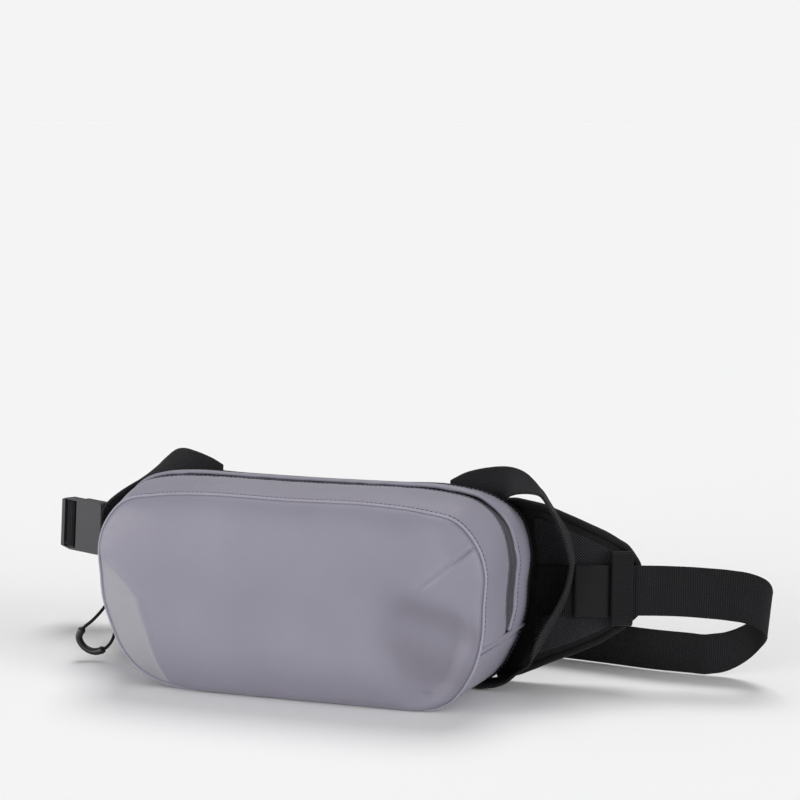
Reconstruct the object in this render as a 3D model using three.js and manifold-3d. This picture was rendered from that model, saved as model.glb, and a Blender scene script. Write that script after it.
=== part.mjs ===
// Waist pack: a soft lilac bag with a U-shaped zip, two padded hip wings, a webbing belt and a flat
// sliding buckle. Millimetres, +Z up. The bag stands on its base at Z = 0, its front faces -Y, and the
// origin is the middle of the base.
import * as THREE from 'three';
import { mergeVertices } from 'three/addons/utils/BufferGeometryUtils.js';
import Module from 'manifold-3d';

const wasm = await Module();
wasm.setup();

// ---------- driving dimensions ----------
const GAP = 0.3;                 // clearance between touching pieces
const FRONT_Y = -40;             // plane of the front seam
const BACK_Y = 40;               // plane of the back seam
const SHELL = 2.4;               // coated fabric with its padding and lining
const BELLY = 19;                // how far the front panel bulges past the front seam
const TOP_CROWN = 4.5;           // rise of the top between the two seams
const ZIP_Y = 10;                // depth of the zip's centre line
const ZIP_HALF = 5;              // half width of the zip tape
const ZIP_SLOT = 0.6;            // half of the slot between the two tapes
const TAPE = 1.2;                // zip tape thickness
const RING_STEPS = 64;           // points round a whole outline
const END_FOOT = 19.5;           // outline step at which the zip ends, just above the lower gusset
const WEBBING = 38;              // belt width
const WEB_THICK = 1.8;           // belt thickness
const STRAP = 25;                // stabiliser strap width
const STRAP_THICK = 2;
const WING_THICK = 8;
const PAD_FRONT = 46.4;          // front faces of the pads, behind the sewn ends of the straps
const CORD_R = 1.25;             // zip pull cord
const GRIP_R = 2.7;              // moulded tube on the cord
const LABEL_SPAN = [39, 64.6];   // along the wing, from the bag's side
const KEEPER_SPAN = [66, 82];
const BELT_LOW = 53;             // lower edge of the belt on the wing
const BUCKLE = new THREE.Vector3(-230.2, 116.5, 81.5);
const BUCKLE_YAW = THREE.MathUtils.degToRad(10);
const BUCKLE_ROLL = THREE.MathUtils.degToRad(4);
const BUCKLE_HALF = 22;          // half of the buckle's height
const SLIDER_Z = 60;             // height of the zip slider at rest

// Half outlines from the top centre round the right end to the base centre, as [x, z].
const FRONT_HALF = [
  [0, 146.5], [62, 147], [102, 144], [126, 138.5], [141, 122], [146.8, 104], [145.8, 80], [144.6, 56],
  [138, 32], [122, 9], [98, 0], [50, 0], [0, 0],
];
const BACK_HALF = [
  [0, 147], [60, 147.5], [100, 148], [131, 142.5], [152, 129], [160, 104], [158.4, 80], [156.6, 56],
  [149, 32], [133, 8], [106, 0], [54, 0], [0, 0],
];

// ---------- small helpers ----------
const v3 = (x, y, z) => new THREE.Vector3(x, y, z);
const lerp = THREE.MathUtils.lerp;
const model = new THREE.Group();

function finish(color, roughness, metalness = 0) {
  return new THREE.MeshStandardMaterial({ color, roughness, metalness });
}

const lilac = () => finish(0x928e9d, 0.55);
const black = () => finish(0x1b1b1e, 0.85);
const darkTape = () => finish(0x4a4a50, 0.7);
const moulded = () => finish(0x55565a, 0.6);
const foam = () => finish(0x303034, 0.95);
const lining = () => finish(0x9a98a2, 0.8);
const steel = () => finish(0xb5b7bb, 0.3, 1);

function add(name, geometry, material) {
  const mesh = new THREE.Mesh(geometry, material);
  mesh.name = name;
  model.add(mesh);
  return mesh;
}

// Collects triangles and leaves out the ones that a pole or a pinched edge collapses.
class Skin {
  constructor() {
    this.data = [];
  }

  tri(a, b, c) {
    const tiny = 1e-5;
    if (a.distanceTo(b) < tiny || b.distanceTo(c) < tiny || c.distanceTo(a) < tiny) return;
    this.data.push(a.x, a.y, a.z, b.x, b.y, b.z, c.x, c.y, c.z);
  }

  quad(a, b, c, d) {
    this.tri(a, b, c);
    this.tri(a, c, d);
  }

  geometry() {
    const geometry = new THREE.BufferGeometry();
    geometry.setAttribute('position', new THREE.Float32BufferAttribute(this.data, 3));
    return geometry;
  }
}

function volume(geometry) {
  const p = geometry.attributes.position;
  const [a, b, c] = [v3(), v3(), v3()];
  let sum = 0;
  for (let i = 0; i < p.count; i += 3) {
    a.fromBufferAttribute(p, i);
    b.fromBufferAttribute(p, i + 1);
    c.fromBufferAttribute(p, i + 2);
    sum += a.dot(b.cross(c));
  }
  return sum / 6;
}

// Turns every triangle over where a body came out inside out.
function outward(geometry) {
  if (volume(geometry) > 0) return geometry;
  const p = geometry.attributes.position.array;
  for (let i = 0; i < p.length; i += 9) {
    for (let k = 0; k < 3; k += 1) {
      [p[i + 3 + k], p[i + 6 + k]] = [p[i + 6 + k], p[i + 3 + k]];
    }
  }
  return geometry;
}

// A sheet with thickness: two matching grids of points, one for each face, walled round the edge.
// A ring joins its last row to its first.
function slab(face, back, ring = false) {
  const skin = new Skin();
  const rows = face.length;
  const last = face[0].length - 1;
  for (let i = 0; i < (ring ? rows : rows - 1); i += 1) {
    const k = (i + 1) % rows;
    for (let j = 0; j < last; j += 1) {
      skin.quad(face[i][j], face[k][j], face[k][j + 1], face[i][j + 1]);
      skin.quad(back[i][j], back[i][j + 1], back[k][j + 1], back[k][j]);
    }
    skin.quad(face[k][0], face[i][0], back[i][0], back[k][0]);
    skin.quad(face[i][last], face[k][last], back[k][last], back[i][last]);
  }
  if (!ring) {
    for (let j = 0; j < last; j += 1) {
      skin.quad(face[0][j], face[0][j + 1], back[0][j + 1], back[0][j]);
      skin.quad(face[rows - 1][j + 1], face[rows - 1][j], back[rows - 1][j], back[rows - 1][j + 1]);
    }
  }
  return outward(skin.geometry());
}

// A ribbon of webbing. Each station has a middle point and the direction of its width.
function ribbon(stations, width, thickness) {
  const face = [];
  const back = [];
  stations.forEach(({ at, across }, i) => {
    const before = stations[Math.max(i - 1, 0)].at;
    const after = stations[Math.min(i + 1, stations.length - 1)].at;
    const side = across.clone().normalize();
    const normal = after.clone().sub(before).cross(side).normalize().multiplyScalar(thickness / 2);
    const edges = [-0.5, 0.5].map((k) => at.clone().addScaledVector(side, k * width));
    face.push(edges.map((p) => p.clone().add(normal)));
    back.push(edges.map((p) => p.clone().sub(normal)));
  });
  return slab(face, back);
}

// Stations on smooth curves through hand-set middle points and width directions.
function stations(middles, acrosses, steps) {
  const path = new THREE.CatmullRomCurve3(middles, false, 'centripetal');
  const turn = new THREE.CatmullRomCurve3(acrosses, false, 'centripetal');
  const list = [];
  for (let i = 0; i <= steps; i += 1) {
    list.push({ at: path.getPoint(i / steps), across: turn.getPoint(i / steps) });
  }
  return list;
}

// A round tube along a run of points.
function tube(points, radius, sides, steps) {
  const circle = new THREE.Shape();
  for (let i = 0; i < sides; i += 1) {
    const turn = (2 * Math.PI * i) / sides;
    const p = new THREE.Vector2(radius * Math.cos(turn), radius * Math.sin(turn));
    if (i === 0) circle.moveTo(p.x, p.y);
    else circle.lineTo(p.x, p.y);
  }
  const extrudePath = new THREE.CatmullRomCurve3(points, false, 'centripetal');
  return new THREE.ExtrudeGeometry(circle, { steps, extrudePath, bevelEnabled: false });
}

function solid(geometry) {
  const bare = geometry.clone();
  bare.deleteAttribute('normal');
  bare.deleteAttribute('uv');
  const merged = mergeVertices(bare, 1e-4);
  const index = merged.index.array;
  const mesh = new wasm.Mesh({
    numProp: 3,
    vertProperties: new Float32Array(merged.attributes.position.array),
    triVerts: new Uint32Array(index),
  });
  return new wasm.Manifold(mesh);
}

function unsolid(manifold) {
  const mesh = manifold.getMesh();
  const geometry = new THREE.BufferGeometry();
  geometry.setAttribute('position', new THREE.BufferAttribute(mesh.vertProperties, 3));
  geometry.setIndex(new THREE.BufferAttribute(mesh.triVerts, 1));
  return geometry;
}

// A box between two opposite corners.
function block([x0, y0, z0], [x1, y1, z1]) {
  const box = new THREE.BoxGeometry(x1 - x0, y1 - y0, z1 - z0);
  return box.translate((x0 + x1) / 2, (y0 + y1) / 2, (z0 + z1) / 2);
}

// ---------- bag body ----------
function closedOutline(half) {
  const right = half.map(([x, z]) => v3(x, 0, z));
  const left = half.slice(1, -1).reverse().map(([x, z]) => v3(-x, 0, z));
  return new THREE.CatmullRomCurve3([...right, ...left], true, 'centripetal');
}

const frontCurve = closedOutline(FRONT_HALF);
const backCurve = closedOutline(BACK_HALF);

// A point of the gusset: step round the outline (0 is the top centre, a quarter turn the right end),
// depth y, and how far inside the fabric's outer face it lies.
function shellPoint(step, y, inset = 0) {
  const u = (((step / RING_STEPS) % 1) + 1) % 1;
  const depth = (y - FRONT_Y) / (BACK_Y - FRONT_Y);
  const blended = (s) => frontCurve.getPoint(s).lerp(backCurve.getPoint(s), depth);
  const p = blended(u);
  p.z = Math.max(p.z, 0);
  const tangent = blended((u + 0.002) % 1).sub(blended((u + 0.998) % 1));
  const normal = v3(tangent.z, 0, -tangent.x).normalize();
  const crown = TOP_CROWN * Math.sin(Math.PI * depth) * THREE.MathUtils.smoothstep(p.z, 105, 145);
  p.addScaledVector(normal, inset);
  return v3(p.x, y, p.z + crown);
}

// A strip of the gusset between two depths, over a run of outline steps.
function gussetStrip(stepFrom, stepTo, yFrom, yTo, outer = 0, thickness = SHELL, rowsPerStep = 1) {
  const face = [];
  const back = [];
  const columns = 2;
  const rows = Math.round((stepTo - stepFrom) * rowsPerStep);
  for (let i = 0; i <= rows; i += 1) {
    const step = lerp(stepFrom, stepTo, i / rows);
    const depths = Array.from({ length: columns + 1 }, (_, j) => lerp(yFrom, yTo, j / columns));
    face.push(depths.map((y) => shellPoint(step, y, outer)));
    back.push(depths.map((y) => shellPoint(step, y, outer + thickness)));
  }
  return slab(face, back);
}

// The front panel: rings that shrink from the seam to the middle, deepest a little below centre.
function frontPanel() {
  const rings = 6;
  const middle = v3(0, 0, 66);
  const face = [];
  const back = [];
  for (let i = 0; i < RING_STEPS; i += 1) {
    const rim = shellPoint(i, FRONT_Y);
    const row = [];
    const inner = [];
    for (let j = 0; j <= rings; j += 1) {
      const inward = Math.sin((Math.PI / 2) * (j / rings));
      const rise = BELLY * Math.sqrt(1 - (1 - inward) ** 2.6);
      const p = rim.clone().setY(0).lerp(middle, inward);
      row.push(v3(p.x, FRONT_Y - rise, p.z));
      const q = p.clone().lerp(middle, j === 0 ? 0.025 : 0);
      inner.push(v3(q.x, FRONT_Y - rise + SHELL, q.z));
    }
    face.push(row);
    back.push(inner);
  }
  return slab(face, back, true);
}

// A flat plate with the back seam's outline, drawn in by an inset.
function outlinePlate(yFrom, yTo, inset, xLimit = Infinity) {
  const shape = new THREE.Shape();
  for (let i = 0; i < RING_STEPS; i += 2) {
    const p = shellPoint(i, BACK_Y, inset);
    const x = THREE.MathUtils.clamp(p.x, -xLimit, xLimit);
    if (i === 0) shape.moveTo(x, p.z);
    else shape.lineTo(x, p.z);
  }
  const plate = new THREE.ExtrudeGeometry(shape, { depth: yTo - yFrom, bevelEnabled: false });
  return plate.rotateX(Math.PI / 2).translate(0, yTo, 0);
}

// A bound seam allowance that runs all round inside the bag, clear of the facets at the tight corners.
const BOUND_IN = SHELL + 1.2;
function seamBinding(y, inset) {
  const face = [];
  const back = [];
  const height = 5;
  const thick = 2.2;
  for (let i = 0; i < RING_STEPS; i += 1) {
    face.push([shellPoint(i, y, inset), shellPoint(i, y, inset + height)]);
    back.push([shellPoint(i, y + thick, inset), shellPoint(i, y + thick, inset + height)]);
  }
  return slab(face, back, true);
}

const bandFront = [FRONT_Y + SHELL + GAP, ZIP_Y - ZIP_HALF - GAP];
const bandRear = [ZIP_Y + ZIP_HALF + GAP, BACK_Y];
const zipSteps = [-END_FOOT, END_FOOT];
const lowerSteps = [END_FOOT + 0.5, RING_STEPS - END_FOOT - 0.5];

add('front_panel', frontPanel(), lilac());
add('front_zip_band', gussetStrip(...zipSteps, ...bandFront), lilac());
add('rear_zip_band', gussetStrip(...zipSteps, ...bandRear), lilac());
add('lower_gusset', gussetStrip(...lowerSteps, bandFront[0], BACK_Y), lilac());
add('front_seam_binding', seamBinding(bandFront[0], BOUND_IN), black());
add('back_seam_binding', seamBinding(BACK_Y - SHELL - GAP, BOUND_IN), black());

// The zip: a tape and a coil on each side of the slot that the slider's neck runs in.
const tapeIn = 0.5;
const COIL = 1.4;
for (const [side, sign] of [['front', -1], ['rear', 1]]) {
  const inner = ZIP_Y + sign * ZIP_SLOT;
  const outer = ZIP_Y + sign * ZIP_HALF;
  const coil = ZIP_Y + sign * (ZIP_SLOT + 1.8);
  add(`zip_tape_${side}`, gussetStrip(...zipSteps, inner, outer, tapeIn, TAPE), darkTape());
  add(`zip_coil_${side}`, gussetStrip(...zipSteps, inner, coil, tapeIn + TAPE + GAP, COIL), black());
}

// Folded seam tapes that close the zip's ends against the lower gusset.
for (const [side, step] of [['right', END_FOOT + 0.25], ['left', -END_FOOT - 0.25]]) {
  const seam = gussetStrip(step - 0.55, step + 0.55, bandFront[0], BACK_Y - 0.5, -GAP, -1, 2);
  add(`${side}_end_seam_tape`, seam, lilac());
}

// Zip end stops inside the bag, against the ends of the coils.
const stopIn = tapeIn + TAPE + COIL + 2 * GAP;
for (const [side, step] of [['right', END_FOOT - 0.45], ['left', -END_FOOT]]) {
  const stop = gussetStrip(step, step + 0.45, ZIP_Y - 3, ZIP_Y + 3, stopIn, 1.2, 2.3);
  add(`${side}_zip_stop`, stop, steel());
}

// ---------- back of the bag and what it holds ----------
const backPlate = [BACK_Y + GAP, BACK_Y + 3];
add('back_panel', outlinePlate(...backPlate, 1.5), black());
add('back_stiffener', outlinePlate(BACK_Y - 8.2, BACK_Y - 6.2, 9), finish(0x202024, 0.5));
add('back_lining', outlinePlate(BACK_Y - 9.7, BACK_Y - 8.5, 9), lining());
const PAD_HALF = 108;
add('lumbar_pad', outlinePlate(PAD_FRONT, PAD_FRONT + 9, 10, PAD_HALF), foam());
add('base_stiffener', block([-90, -30, SHELL + GAP], [90, 30, SHELL + GAP + 1.5]), finish(0x202024, 0.5));

// A padded divider that makes a slip pocket against the back, standing on the base board.
const DIVIDER_Y = 19;
const dividerShape = new THREE.Shape();
dividerShape.moveTo(-112, 12);
dividerShape.lineTo(-104, SHELL + 2.4);
dividerShape.lineTo(104, SHELL + 2.4);
dividerShape.lineTo(112, 12);
dividerShape.lineTo(112, 92);
dividerShape.quadraticCurveTo(0, 84, -112, 92);
const divider = new THREE.ExtrudeGeometry(dividerShape, { depth: 3, bevelEnabled: false });
add('inner_divider', divider.rotateX(Math.PI / 2).translate(0, DIVIDER_Y + 3, 0), lining());

// ---------- hip wings ----------
// Middle line of each wing in plan, from behind the back panel to the tip, and the wing's upper and
// lower edge as [share of its length, z].
const wingPlan = {
  right: [[109, 50.5], [132, 50.5], [152, 52.5], [176, 58], [205, 66], [233, 75]],
  left: [[-109, 50.5], [-130, 50.7], [-148, 55], [-164, 66], [-178, 80.5], [-189, 95]],
};
const WING_TOP = [[0, 136], [0.3, 138], [0.45, 134], [0.65, 123], [0.82, 113], [0.93, 104], [1, 92]];
const WING_BOTTOM = [[0, 12], [0.3, 10], [0.42, 14], [0.6, 22], [0.78, 32], [0.93, 44], [1, 54]];

function along(list, share) {
  const next = list.findIndex(([s]) => s >= share);
  if (next <= 0) return list[0][1];
  const [s0, z0] = list[next - 1];
  const [s1, z1] = list[next];
  return lerp(z0, z1, (share - s0) / (s1 - s0));
}

const wingCurve = {};
for (const side of ['right', 'left']) {
  const points = wingPlan[side].map(([x, y]) => v3(x, y, 0));
  wingCurve[side] = new THREE.CatmullRomCurve3(points, false, 'centripetal');
}

// A point on or in front of the wing's middle surface; off is the distance towards the outer face.
function wingPoint(side, share, z, off) {
  const p = wingCurve[side].getPointAt(THREE.MathUtils.clamp(share, 0, 1));
  const tangent = wingCurve[side].getTangentAt(THREE.MathUtils.clamp(share, 0, 1));
  const sign = side === 'right' ? 1 : -1;
  const normal = v3(tangent.y * sign, -tangent.x * sign, 0);
  const beyond = (share - THREE.MathUtils.clamp(share, 0, 1)) * wingCurve[side].getLength();
  return v3(p.x, p.y, z).addScaledVector(normal, off).addScaledVector(tangent, beyond);
}

// A padded sheet that follows the wing; the edges are thinner than the middle.
function wingSheet(side, shares, margin, offOuter, offInner, rounding) {
  const columns = 4;
  const rows = 12;
  const face = [];
  const back = [];
  for (let i = 0; i <= rows; i += 1) {
    const share = lerp(shares[0], shares[1], i / rows);
    const top = along(WING_TOP, share) - margin;
    const bottom = along(WING_BOTTOM, share) + margin;
    const spread = Array.from({ length: columns + 1 }, (_, j) => j / columns);
    const thin = (j) => rounding * (Math.abs(2 * j - 1) ** 3);
    face.push(spread.map((j) => wingPoint(side, share, lerp(bottom, top, j), offOuter - thin(j))));
    back.push(spread.map((j) => wingPoint(side, share, lerp(bottom, top, j), offInner + thin(j))));
  }
  return slab(face, back);
}

const WING_LENGTH = wingCurve.right.getLength();
const wingShare = (reach) => (reach + 41) / WING_LENGTH;   // reach counts from x = 150
const halfWing = WING_THICK / 2;
const MESH_OFF = halfWing + GAP;
const MESH_THICK = 1;
for (const side of ['left', 'right']) {
  const pad = wingSheet(side, [0, 1], 0, halfWing, -halfWing, 2);
  add(`${side}_wing_pad`, pad, foam());
  const mesh = wingSheet(side, [wingShare(10), wingShare(73)], 10, MESH_OFF + MESH_THICK, MESH_OFF, 0);
  add(`${side}_wing_mesh`, mesh, black());
}

// ---------- webbing on the wings ----------
const WEB_OFF = MESH_OFF + MESH_THICK + GAP + WEB_THICK / 2;
const UP = v3(0, 0, 1);
const webMid = BELT_LOW + WEBBING / 2;

function wingWebbing(side, reachFrom, reachTo, steps, off = WEB_OFF) {
  const list = [];
  for (let i = 0; i <= steps; i += 1) {
    const share = wingShare(lerp(reachFrom, reachTo, i / steps));
    list.push({ at: wingPoint(side, share, webMid, off), across: UP });
  }
  return list;
}

add('right_wing_webbing', ribbon(wingWebbing('right', 12, 65, 6), WEBBING, WEB_THICK), black());
const labelOff = WEB_OFF + WEB_THICK / 2 + GAP + 0.5;
add('label_patch', ribbon(wingWebbing('right', ...LABEL_SPAN, 2, labelOff), WEBBING + 2, 1), black());

// The keeper at the right wing's tip: a loop of 20 mm webbing that stands off in front of the belt.
function keeper() {
  const profile = [
    [MESH_OFF + MESH_THICK + 0.7, 98], [8, 101.5], [10.2, 99.5], [10.5, 90],
    [10.5, 56], [10.2, 48.5], [8, 46.5], [MESH_OFF + MESH_THICK + 0.7, 49],
  ];
  const [from, to] = KEEPER_SPAN.map(wingShare);
  const face = [];
  const back = [];
  profile.forEach(([off, z], i) => {
    const a = profile[Math.max(i - 1, 0)];
    const b = profile[Math.min(i + 1, profile.length - 1)];
    const along2 = new THREE.Vector2(b[0] - a[0], b[1] - a[1]).normalize();
    const nudge = [-along2.y * 0.8, along2.x * 0.8];
    face.push([from, to].map((s) => wingPoint('right', s, z + nudge[1], off + nudge[0])));
    back.push([from, to].map((s) => wingPoint('right', s, z - nudge[1], off - nudge[0])));
  });
  return slab(face, back);
}
add('right_keeper', keeper(), black());

// ---------- buckle ----------
// Its own frame: x along the belt towards the wing, y up, z out of the front face.
const bx = v3(
  Math.cos(BUCKLE_YAW) * Math.cos(BUCKLE_ROLL),
  -Math.sin(BUCKLE_YAW) * Math.cos(BUCKLE_ROLL),
  -Math.sin(BUCKLE_ROLL),
);
const bz = v3(-Math.sin(BUCKLE_YAW), -Math.cos(BUCKLE_YAW), 0);
const by = bz.clone().cross(bx);
const buckleFrame = new THREE.Matrix4().makeBasis(bx, by, bz).setPosition(BUCKLE);
const inBuckle = (x, y, z) => v3(x, y, z).applyMatrix4(buckleFrame);

const PLATE = { left: -26, right: 13, back: 1, front: 6 };
const BASE = { left: -9, right: 26, back: -4, front: 0.7 };
const WINDOW = { left: -23, right: -11.4, bar: [-19.2, -15.2], high: 20 };
const BOSS = { half: 5, flare: 2, front: 3.6 };
const BASE_SLOT = [15.9, 20.5];
const MAGNET = { middle: 10, halfWide: 1.2, halfHigh: 3.6 };
const POCKET_CLEAR = 0.4;

// A bar magnet, or with some clearance the pocket that it sits in.
function magnetBlock(zFrom, zTo, clear = 0) {
  const wide = MAGNET.halfWide + clear;
  const high = MAGNET.halfHigh + clear;
  return block([MAGNET.middle - wide, -high, zFrom], [MAGNET.middle + wide, high, zTo]);
}

// The two dovetail faces widen towards the front, so that the plate can only slide along y.
function dovetail(half, flare, zFrom, zTo, yFrom, yTo) {
  const shape = new THREE.Shape();
  shape.moveTo(-half, zFrom);
  shape.lineTo(half, zFrom);
  shape.lineTo(half + flare, zTo);
  shape.lineTo(-half - flare, zTo);
  const bar = new THREE.ExtrudeGeometry(shape, { depth: yTo - yFrom, bevelEnabled: false });
  return bar.rotateX(Math.PI / 2).translate(0, yTo, 0);
}

function roundedPlate(x0, x1, half, z0, z1, r) {
  const shape = new THREE.Shape();
  shape.moveTo(x0 + r, -half);
  shape.lineTo(x1 - r, -half);
  shape.quadraticCurveTo(x1, -half, x1, -half + r);
  shape.lineTo(x1, half - r);
  shape.quadraticCurveTo(x1, half, x1 - r, half);
  shape.lineTo(x0 + r, half);
  shape.quadraticCurveTo(x0, half, x0, half - r);
  shape.lineTo(x0, -half + r);
  shape.quadraticCurveTo(x0, -half, x0 + r, -half);
  const options = { depth: z1 - z0, bevelEnabled: false, curveSegments: 3 };
  const plate = new THREE.ExtrudeGeometry(shape, options);
  return plate.translate(0, 0, z0);
}

const H = BUCKLE_HALF;
const plateBody = solid(roundedPlate(PLATE.left, PLATE.right, H, PLATE.back, PLATE.front, 3));
const leftSlot = solid(block([WINDOW.left, -WINDOW.high, 0], [WINDOW.bar[0], WINDOW.high, 8]));
const rightSlot = solid(block([WINDOW.bar[1], -WINDOW.high, 0], [WINDOW.right, WINDOW.high, 8]));
const barFront = solid(block([WINDOW.left, -WINDOW.high, 3.5], [WINDOW.right, WINDOW.high, 8]));
const groove = dovetail(BOSS.half + 0.4, BOSS.flare, 0.9, BOSS.front + 0.4, -H - 1, H - 5);
const magnetHollow = solid(magnetBlock(0, 4.6, POCKET_CLEAR));
const TAPER = { drop: 2.6, reach: 13 };   // the plate narrows a little towards the belt
const taper = new THREE.Shape();
taper.moveTo(PLATE.left - 1, H - TAPER.drop);
taper.lineTo(PLATE.left + TAPER.reach, H + 1);
taper.lineTo(PLATE.left - 1, H + 1);
const taperTop = new THREE.ExtrudeGeometry(taper, { depth: 10, bevelEnabled: false });
const taperLow = taperTop.clone().rotateX(Math.PI).translate(0, 0, 9);
const plateCuts = [
  solid(taperTop), solid(taperLow), leftSlot, rightSlot, barFront, solid(outward(groove)), magnetHollow,
];
const plate = plateCuts.reduce((rest, cut) => rest.subtract(cut), plateBody);
add('buckle_plate', unsolid(plate).applyMatrix4(buckleFrame), moulded());
const plateMagnet = magnetBlock(1.2, 4.2);
add('plate_magnet', plateMagnet.applyMatrix4(buckleFrame), steel());

const baseBody = solid(roundedPlate(BASE.left, BASE.right, H - 0.6, BASE.back, BASE.front, 3));
const boss = dovetail(BOSS.half, BOSS.flare, BASE.front - 0.2, BOSS.front, -H + 1.5, H - 5.4);
const baseSlot = solid(block([BASE_SLOT[0], -WINDOW.high, -8], [BASE_SLOT[1], WINDOW.high, 4]));
const barBack = solid(block([BASE_SLOT[1] - 1, -WINDOW.high, -0.4], [BASE.right + 1, WINDOW.high, 4]));
const baseHollow = solid(magnetBlock(-5, -0.6, POCKET_CLEAR));
const base = [baseSlot, barBack, baseHollow]
  .reduce((rest, cut) => rest.subtract(cut), baseBody.add(solid(outward(boss))));
add('buckle_base', unsolid(base).applyMatrix4(buckleFrame), moulded());
const baseMagnet = magnetBlock(-3.8, -0.9);
add('base_magnet', baseMagnet.applyMatrix4(buckleFrame), steel());

// ---------- belt ----------
// Webbing that wraps the plate's bar: from behind, out through one slot, over the bar, back through the
// other, and a short tail that ends in a hem.
function buckleRibbon(path) {
  return path.map(([x, z, y = 0, tilt = 0]) => ({
    at: inBuckle(x, y, z),
    across: by.clone().addScaledVector(bx, tilt),
  }));
}
const THIN = 1.5;
const WRAP = [
  [27, -12.4, -20, 0.5], [18, -12.2, -15.5, 0.5], [8, -12, -10.5, 0.48], [-2, -11.8, -5.7, 0.42],
  [-11, -11.6, -2.1, 0.25], [-17.6, -10.4, -0.4, 0.08], [-20.6, -6], [-21.1, -1], [-21.1, 3], [-19.6, 4.6],
  [-17.2, 4.7], [-14.8, 4.6], [-13.3, 3], [-13.3, -4], [-12.3, -7.6], [-9, -9.1], [0, -9.2],
];
add('belt_wrap', ribbon(buckleRibbon(WRAP), WEBBING, THIN), black());
add('belt_tail', ribbon(buckleRibbon([[0.4, -9.2], [14, -9.2], [27, -9.2]]), WEBBING, THIN), black());
add('tail_hem', ribbon(buckleRibbon([[20.4, -7.65], [27, -7.65]]), WEBBING, 1), black());

// Webbing on the left wing, on to the base's bar and round it.
const leftWeb = [...wingWebbing('left', 12, 72, 6), ...wingWebbing('left', 84, 92, 1, WEB_OFF + 1.5)];
const baseLoop = [
  [29, 0.9], [25, 0.8], [21.7, 0.75], [19.3, 0.4], [18.1, -0.9],
  [18, -4], [19.5, -5.3], [22, -5.7], [27, -5.7],
];
const leftRun = [...leftWeb, ...buckleRibbon(baseLoop)];
add('left_wing_webbing', ribbon(leftRun, WEBBING, THIN), black());

// The belt from the right wing's tip, round the far right turn and back behind the bag: plan point of
// the middle line, height of the middle, and the lean of the webbing as [x, y, z] of its width.
const beltStart = wingWebbing('right', 65.6, 88, 3);
const tip = beltStart[beltStart.length - 1].at;
const frontRun = stations(
  [tip, v3(250, 75, 71.5), v3(272, 80, 71), v3(296, 83, 70)],
  [UP, UP, v3(0, 0, 1), v3(0.02, 0.02, 1)],
  6,
);
add('belt_front_run', ribbon([...beltStart, ...frontRun.slice(1)], WEBBING, WEB_THICK), black());
const turnMiddles = [
  v3(296.6, 83.05, 70), v3(314, 84.5, 68), v3(325, 87, 63), v3(328, 93, 55), v3(323, 99, 44),
  v3(312, 102.5, 31), v3(296, 103.5, 21.5), v3(280, 102, 18.4),
];
const turnAcross = [
  v3(0.02, 0.02, 1), v3(0.05, 0.02, 1), v3(0.1, 0.0, 1), v3(0.1, -0.1, 1), v3(0.12, -0.25, 1),
  v3(0.16, -0.36, 1), v3(0.1, -0.42, 1), v3(0.04, -0.44, 1),
];
add('belt_right_turn', ribbon(stations(turnMiddles, turnAcross, 18), WEBBING, WEB_THICK), black());
const backMiddles = [
  v3(279.4, 101.9, 18.6), v3(240, 104, 18.6), v3(200, 111, 18.7), v3(150, 118, 18.9), v3(70, 123, 19.2),
  v3(-20, 125, 19.6), v3(-90, 126, 22),
];
const backAcross = [
  v3(0.04, -0.44, 1), v3(0.02, -0.42, 1), v3(0, -0.4, 1), v3(0, -0.36, 1), v3(0, -0.3, 1),
  v3(0, -0.25, 1), v3(-0.1, -0.18, 1),
];
add('belt_back_run', ribbon(stations(backMiddles, backAcross, 22), WEBBING, WEB_THICK), black());
const [wrapStart] = buckleRibbon([[27.4, -12.4, -20.2, 0.5]]);
const leftMiddles = [
  v3(-90.6, 126, 22.05), v3(-122, 126.6, 28), v3(-155, 126.6, 40), v3(-182, 125, 51.5), wrapStart.at,
];
const leftAcross = [
  v3(-0.1, -0.18, 1), v3(0.15, -0.12, 1), v3(0.4, -0.06, 1), v3(0.52, -0.03, 1), wrapStart.across,
];
add('belt_left_run', ribbon(stations(leftMiddles, leftAcross, 14), WEBBING, WEB_THICK), black());

// ---------- stabiliser straps ----------
// Each end is sewn flat behind the back panel. The upper strap arches out over the wing, turns edge-on
// and is sewn to the wing beside the label; the lower one goes on down to the base seam. The sewn ends
// are [x, y, z] with the direction of the width; the rest is [reach along the wing, z] in front of it.
const SEWN_Y = BACK_Y + 3 + GAP + STRAP_THICK / 2 + 0.1;
const STRAP_OFF = 20.2;
const upperEnd = {
  right: [[98, SEWN_Y, 139, 0, 0, 1], [116, SEWN_Y + 0.8, 147, -0.3, 0, 1], [136, 47.4, 151, -0.2, 0.3, 1],
    [150, 45.5, 152, 0.1, 1, 0.6]],
  left: [[-83, SEWN_Y, 141, 0, 0, 1], [-98, SEWN_Y + 0.8, 147, 0.3, 0, 1], [-113, 47.6, 150.5, 0.25, 0.2, 1],
    [-126, 52.5, 151, 0, 0.6, 0.8], [-138, 50, 147.5, 0.2, 0.8, 0.5], [-150, 41, 137.5, 0.45, 0.85, 0.25]],
};
const upperRun = {
  right: [[14, 148], [20, 139], [27, 127], [33, 114], [37, 97]],
  left: [[31, 114], [37, 97]],
};
const lowerRun = [[37.2, 96.4], [34.5, 80], [28, 62], [19, 46], [13, 32], [9, 22]];
const lowerEnd = {
  right: [[155, 36, 14, 0.1, 1, 0], [145, 34.5, 6.5, 0, 1, 0], [133, 33.4, 3, 0, 1, 0],
    [124, 33.2, 2, 0, 1, 0]],
  left: [[-156, 36, 14, -0.1, 1, 0], [-145, 34.5, 6.5, 0, 1, 0], [-133, 33.4, 3, 0, 1, 0],
    [-124, 33.2, 2, 0, 1, 0]],
};

function sewnEnd(rows) {
  return rows.map(([x, y, z, ...dir]) => ({ at: v3(x, y, z), across: v3(...dir).normalize() }));
}

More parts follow.
